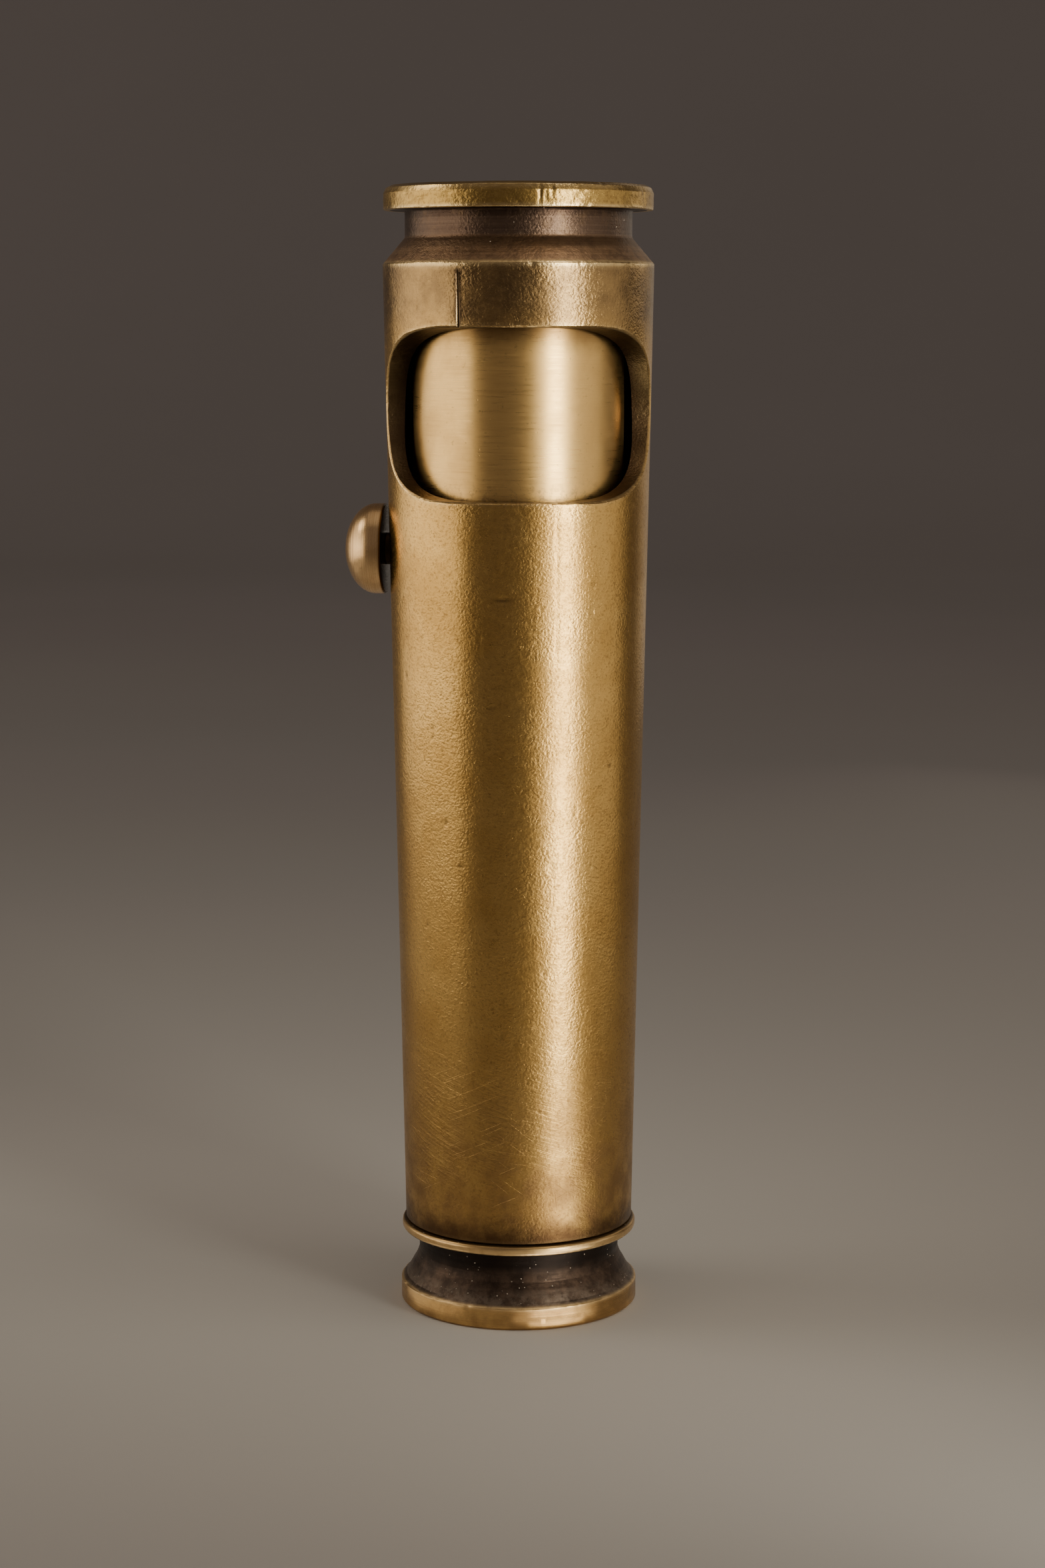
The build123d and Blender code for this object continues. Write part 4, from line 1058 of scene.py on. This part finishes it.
def brass_base():
    m, nt, b = mat_new("base_plug_brass")
    g = G(nt)
    mm = g.obj((1000, 1000, 1000))
    x, y, z = g.xyz()
    neck, wear = g.attr("neck"), g.attr("wear")
    lines = g.noise(g.obj((60, 60, 9500)), 1.0, 4, 0.65)
    cloud = g.noise(mm, 0.35, 5, 0.65, 0.3)
    col = g.mix(g.map(cloud, 0.35, 0.68), (0.66, 0.415, 0.160), (0.40, 0.240, 0.095))
    col = g.mix(g.map(lines, 0.45, 0.72, 0, 0.4), col, (0.32, 0.190, 0.080))
    # neck colour: dark grime, with painted shadow making its upper part under the bead nearly black
    neck_grime_shade = g.mix(g.map(g.noise(mm, 0.8, 6, 0.7), 0.35, 0.7), (0.040, 0.024, 0.016), (0.115, 0.072, 0.048))
    # painted shadow under the bead
    under_bead_shadow = g.map(z, 0.0034, 0.0050, 0.0, 0.95)
    neck_grime_shade = g.mix(under_bead_shadow, neck_grime_shade, (0.008, 0.004, 0.0025))
    # a paler, rubbed ledge just above the foot
    ledge = g.map(z, 0.0034, 0.0021, 0.0, 1.0)
    ledge = g.math("MULTIPLY", ledge, g.map(g.noise(mm, 1.1, 6, 0.75), 0.38, 0.62, 0.1, 0.8))
    neck_grime_shade = g.mix(ledge, neck_grime_shade, (0.20, 0.150, 0.112))
    col = g.mix(neck, col, neck_grime_shade)
    # dust: small pale specks that gather on the neck
    speck = g.map(g.voronoi(mm, 2.1), 0.085, 0.135, 1.0, 0.0)
    speck = g.math("MULTIPLY", speck, g.map(g.noise(mm, 0.7, 3, 0.6), 0.46, 0.54))
    speck = g.math("MULTIPLY", speck, neck)
    col = g.mix(g.math("MULTIPLY", speck, 0.85), col, (0.42, 0.35, 0.28))
    wf = g.math("MULTIPLY", wear, g.map(g.noise(mm, 1.5, 4, 0.6), 0.3, 0.6, 0.5, 1.0))
    col = g.mix(wf, col, (0.86, 0.60, 0.29))
    nt.links.new(col, b.inputs["Base Color"])
    metal = g.math("SUBTRACT", 1.0, g.math("MULTIPLY", neck, 0.25))
    metal = g.math("SUBTRACT", metal, speck, clamp=True)
    nt.links.new(metal, b.inputs["Metallic"])
    rg = g.map(lines, 0.3, 0.7, 0.24, 0.36, smooth=False)
    rg = g.math("ADD", rg, g.math("MULTIPLY", neck, 0.10))
    rg = g.math("ADD", rg, g.math("MULTIPLY", speck, 0.3), clamp=True)
    nt.links.new(rg, b.inputs["Roughness"])
    n1 = g.bump(lines, 0.7, 0.000005)
    n2 = g.bump(g.math("MULTIPLY", g.noise(mm, 2.4, 5, 0.65), neck), 0.8, 0.00002, n1)
    n3 = g.bump(speck, 0.8, 0.00003, n2)
    n4 = g.bump(g.noise(mm, 7, 3, 0.6), 0.4, 0.000003, n3)
    nt.links.new(n4, b.inputs["Normal"])
    return m


plug = build_plug()
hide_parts("base_plug")
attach(plug, "insert")
assign(plug, brass_base())

# ================================================================== wick: three plies twisted together
def build_wick():
    verts, faces = [], []
    plies, seg, steps = 3, 16, 420
    for p in range(plies):
        base = len(verts)
        for i in range(steps + 1):
            t = i / steps
            z = WICK_Z0 + 0.02 + (WICK_Z1 - WICK_Z0 - 0.05) * t
            a = 2 * math.pi * (p / plies + z / 4.6)
            rr = 0.60
            pr = 0.60 + 0.035 * noise.noise(Vector((p * 7.1, z * 1.7, 0.3)))
            if z > WICK_Z1 - 1.1:                            # frayed tip
                f = (z - (WICK_Z1 - 1.1)) / 1.1
                pr *= 1 - 0.35 * f
                rr += 0.08 * f
            if t < 0.004 or t > 0.996:
                pr *= 0.55
            c = Vector((rr * math.cos(a), WICK_Y + rr * math.sin(a), z))
            for k in range(seg):
                q = 2 * math.pi * k / seg + z * 1.2
                rad = pr * (1 + 0.07 * math.cos(5 * q + z * 3.0)) + 0.02 * noise.noise(Vector((k * 1.3, z * 5, p * 3.0)))
                rad = min(rad, 1.30 - 0.60 if z < WICK_Z1 - 1.1 else rad)
                verts.append((c + Vector((math.cos(q) * rad, math.sin(q) * rad, 0))) * MM)
        for i in range(steps):
            for k in range(seg):
                k2 = (k + 1) % seg
                faces.append((base + i * seg + k, base + i * seg + k2, base + (i + 1) * seg + k2, base + (i + 1) * seg + k))
        faces.append(tuple(base + k for k in range(seg - 1, -1, -1)))
        faces.append(tuple(base + steps * seg + k for k in range(seg)))
    ob = fix_normals(new_object("plied_wick", verts, faces))
    finish_mesh(ob, 60)
    return ob


def wick_mat():
    m, nt, b = mat_new("wick_cotton")
    g = G(nt)
    mm = g.obj((1000, 1000, 1000))
    x, y, z = g.xyz()
    fib = g.noise(g.obj((9000, 9000, 1500), (0.5, 0.3, 0)), 1.0, 4, 0.7)
    col = g.mix(g.map(fib, 0.3, 0.7), (0.74, 0.70, 0.60), (0.50, 0.45, 0.36))
    char = g.map(z, 0.0728, 0.0746)
    char = g.math("ADD", char, g.math("MULTIPLY", g.map(g.noise(mm, 2.0, 4, 0.6), 0.4, 0.7), g.map(z, 0.0715, 0.0735)), clamp=True)
    col = g.mix(char, col, (0.012, 0.010, 0.009))
    nt.links.new(col, b.inputs["Base Color"])
    b.inputs["Roughness"].default_value = 0.9
    b.inputs["Sheen Weight"].default_value = 0.3
    nt.links.new(g.bump(fib, 1.0, 0.00004), b.inputs["Normal"])
    return m


wick = build_wick()
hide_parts("wick")
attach(wick, "insert")
assign(wick, wick_mat())


# ================================================================== wadding and felt in the tank
def build_filling(name, r, z0, z1, holes, lump, seed):
    prof = rounded([(0, z0), (r, z0), (r, z1), (0, z1)], [0, 0.4, 0.4, 0], 4)
    ob = fix_normals(lathe(name, dense(prof, 0.45), 96, close=False))
    for hr, hy, h0 in holes:
        cut(ob, rod("c", hr, h0, z1 + 5, y=hy, segs=40))
    co = coords(ob) / MM
    x, y, z = co[:, 0], co[:, 1], co[:, 2]
    rr = np.hypot(x, y)
    w = np.clip((rr - r + 0.5) / 0.5, 0, 1)
    d = -lump * tri_noise(x / 1.3, y / 1.3, z / 1.3, seed, 3) * w
    co[:, 0] += d * x / np.maximum(rr, 1e-6)
    co[:, 1] += d * y / np.maximum(rr, 1e-6)
    set_coords(ob, co * MM)
    return finish_mesh(ob, 60)


pack = build_filling("cotton_wadding", PACK_R, SPIGOT_Z + FELT_T + 0.1, POST_SPIGOT_Z0 - 0.3,
                     [(TUBE_R + 0.05, FLINT_Y, 5), (WICK_R + 0.03, WICK_Y, WICK_Z0 - 0.2)], 0.25, 61)
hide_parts("tank_packing")
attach(pack, "insert")
assign(pack, dull("wadding", (0.80, 0.79, 0.74), (0.58, 0.55, 0.48), 0.9, 0.9, 0.0002, 0.4))
felt = build_filling("felt_disc", PACK_R - 0.05, SPIGOT_Z + 0.02, SPIGOT_Z + FELT_T,
                     [(TUBE_R + 0.05, FLINT_Y, 5), (1.5, WICK_Y, 5)], 0.12, 62)
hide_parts("felt_pad")
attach(felt, "insert")
assign(felt, dull("felt", (0.62, 0.59, 0.52), (0.42, 0.39, 0.33), 0.95, 1.6, 0.0001, 0.5))

# ================================================================== materials of the pieces whose CAD shape is right
assign(NODES["primer_cup"], brass_turned("primer_brass", (0.66, 0.41, 0.15), (0.42, 0.24, 0.09), (0.26, 0.40), 0.4, "z", 0.5))
assign(NODES["guide_ring"], brass_turned("ring_brass", (0.62, 0.39, 0.14), (0.40, 0.24, 0.09)))
# the bush is coloured nearly black as painted shade for the gap behind the knob
assign(NODES["knob_bush"], brass_turned("bush_brass", (0.10, 0.06, 0.03), (0.04, 0.025, 0.015), (0.35, 0.5), 1.0, "x", 0.6))
assign(NODES["tank_tube"], brass_turned("tank_brass", (0.72, 0.455, 0.16), (0.50, 0.30, 0.10), (0.20, 0.32), 0.8, "z", 0.4))
assign(NODES["burner_body"], brass_turned("burner_brass", (0.62, 0.39, 0.15), (0.30, 0.18, 0.09), (0.26, 0.40), 1.0, "z", 0.6))
assign(NODES["wick_ferrule"], brass_turned("ferrule_brass", (0.50, 0.31, 0.13), (0.14, 0.085, 0.05), (0.28, 0.45), 1.0, "z", 0.8))
assign(NODES["flint_tube"], brass_turned("flint_tube_brass", (0.66, 0.41, 0.15), (0.40, 0.24, 0.09)))
assign(NODES["flint_pusher"], brass_turned("pusher_brass", (0.66, 0.41, 0.15), (0.40, 0.24, 0.09)))
screws = brass_turned("screw_brass", (0.70, 0.44, 0.17), (0.40, 0.24, 0.10), (0.24, 0.36), 0.6, "z", 0.6)
assign(NODES["flint_screw"], screws)
assign(NODES["filler_screw"], screws)
assign(NODES["spring_washer"], steel("washer_steel", (0.50, 0.50, 0.50), 0.28))
assign(NODES["flint_spring"], steel("spring_steel", (0.48, 0.48, 0.49), 0.30))
assign(NODES["wheel_bracket"], steel("bracket_steel", (0.44, 0.43, 0.42), 0.34, (300, 3000, 300)))
assign(NODES["wheel_axle"], steel("axle_steel", (0.50, 0.49, 0.48), 0.26))
assign(NODES["flint_wheel"], steel("wheel_steel", (0.30, 0.29, 0.29), 0.36, (6000, 600, 600)))
assign(NODES["flint"], dull("flint_alloy", (0.10, 0.095, 0.09), (0.17, 0.15, 0.13), 0.6, 2.5, 0.00003))
assign(NODES["case_o_ring"], dull("ring_rubber", (0.018, 0.018, 0.018), (0.035, 0.033, 0.03), 0.55, 1.2, 0.00001))
assign(NODES["filler_seal"], dull("seal_rubber", (0.02, 0.02, 0.02), (0.045, 0.04, 0.035), 0.6, 1.2, 0.00001))


# ================================================================== stage
def floor():
    prof = [(-4.0, 0.0), (-0.3, 0.0), (0.3, 0.0), (0.75, 0.0)]
    for k in range(1, 17):
        q = math.pi / 2 * k / 16
        prof.append((0.75 + 0.55 * math.sin(q), 0.55 - 0.55 * math.cos(q)))
    prof += [(1.30, 2.4)]
    verts, faces = [], []
    for x in (-4.0, 4.0):
        verts += [(x, y, z) for y, z in prof]
    n = len(prof)
    faces = [(i, i + 1, n + i + 1, n + i) for i in range(n - 1)]
    ob = new_object("floor", verts, faces)
    for f in ob.data.polygons:
        f.use_smooth = True
    m, nt, b = mat_new("floor_paper")
    g = G(nt)
    v = g.obj((1, 1, 1))
    nt.links.new(g.mix(g.map(g.noise(v, 3.0, 4, 0.5), 0.3, 0.7), (0.62, 0.600, 0.570), (0.66, 0.640, 0.610)), b.inputs["Base Color"])
    b.inputs["Roughness"].default_value = 0.75
    b.inputs["Specular IOR Level"].default_value = 0.25
    nt.links.new(g.bump(g.noise(v, 900.0, 3, 0.6), 0.2, 0.0001), b.inputs["Normal"])
    assign(ob, m)
    return ob


floor()
world = bpy.data.worlds.new("studio")
bpy.context.scene.world = world
world.use_nodes = True
world.node_tree.nodes["Background"].inputs[0].default_value = (1.0, 0.83, 0.76, 1)
world.node_tree.nodes["Background"].inputs[1].default_value = 0.12


def softbox(name, azimuth, dist, width, height, z, radiance, color=(1, 0.90, 0.74), spread=180, aim=None):
    """An area light facing the long axis. azimuth: 0 in front (-Y), positive to the left (-X)."""
    a = math.radians(azimuth)
    light = bpy.data.lights.new(name, "AREA")
    light.shape = "RECTANGLE"
    light.size, light.size_y = width, height
    light.color = color
    half = math.radians(spread) / 2
    gain = 1.0 if spread > 175 else math.tan(half) / (math.tan(half) - half)
    light.spread = math.radians(spread)
    light.energy = radiance * math.pi * width * height / gain
    ob = bpy.data.objects.new(name, light)
    pos = Vector((-math.sin(a) * dist, -math.cos(a) * dist, z))
    ob.location = pos
    look = Vector((0, 0, z if aim is None else aim)) - pos
    ob.rotation_euler = look.to_track_quat("-Z", "Y").to_euler()
    ob.visible_camera = False
    bpy.context.scene.collection.objects.link(ob)
    return ob


# a wide panel on the left, folded round the object so that each leaf faces it
for k, gain in enumerate((1.0, 1.0, 1.0, 1.05, 1.0, 0.8, 0.5)):
    softbox("left_%d" % k, 57 + 11 * k, 0.17, 0.0336, 0.30, 0.166, 1.75 * gain, spread=80)
softbox("left_high", 95, 0.20, 0.11, 0.10, 0.23, 2.6, spread=90, aim=0.07)
# a narrow bright strip at the right front with a soft halo, and a dim panel beyond it
softbox("right_core", -39.5, 0.100, 0.0245, 0.26, 0.131, 12.0, color=(1, 0.96, 0.81), spread=80)
softbox("right_halo", -37, 0.102, 0.076, 0.26, 0.131, 0.90, spread=90)
softbox("right_back", -120, 0.16, 0.060, 0.052, 0.108, 0.85, spread=110)
softbox("right_fill", -80, 0.16, 0.130, 0.26, 0.131, 0.58, spread=110)
# a card lying on the floor carries the strip's reflection down to the foot
for name, az, d0, d1, w, rad, col in (("right_card", -38.0, 0.0215, 0.098, 0.0185, 3.3, (1, 0.95, 0.80)),
                                      ("foot_card", -21.0, 0.0106, 0.0168, 0.0060, 4.2, (1, 0.93, 0.80)),
                                      ("foot_halo", -23.0, 0.0106, 0.0180, 0.0110, 0.9, (1, 0.93, 0.80)),
                                      ("foot_left", 62.0, 0.0108, 0.0170, 0.0120, 0.45, (1, 0.90, 0.74)),
                                      ("left_card", 88.0, 0.100, 0.170, 0.190, 0.20, (1, 0.90, 0.74))):
    ob = softbox(name, az, (d0 + d1) / 2, w, d1 - d0, 0.00015, rad, color=col)
    ob.rotation_euler = (math.radians(180), 0, -math.radians(az))
# soft overhead light for the floor, the shoulder cone and the ledges
softbox("top_key", -67, 0.165, 0.12, 0.10, 0.46, 4.4, spread=100, aim=0.088)
t = softbox("top_soft", 0, 0.001, 0.60, 0.60, 0.75, 0.30, spread=110)
t.rotation_euler = (0, 0, 0)
softbox("back_fill", -150, 0.30, 0.20, 0.26, 0.14, 0.35, spread=100, aim=0.1)

# ================================================================== camera
cam_data = bpy.data.cameras.new("camera")
cam_data.sensor_fit = "VERTICAL"
cam_data.sensor_height = 36.0
cam_data.lens = 4711.0 / 2352.0 * 36.0
cam_data.clip_start = 0.005
cam_data.clip_end = 50.0
cam = bpy.data.objects.new("camera", cam_data)
bpy.context.scene.collection.objects.link(cam)
cam.location = (0.00032, -0.2548, 0.0819)
cam.rotation_euler = (math.radians(90 - 8.60), 0, 0)
bpy.context.scene.camera = cam

bpy.context.view_layer.update()
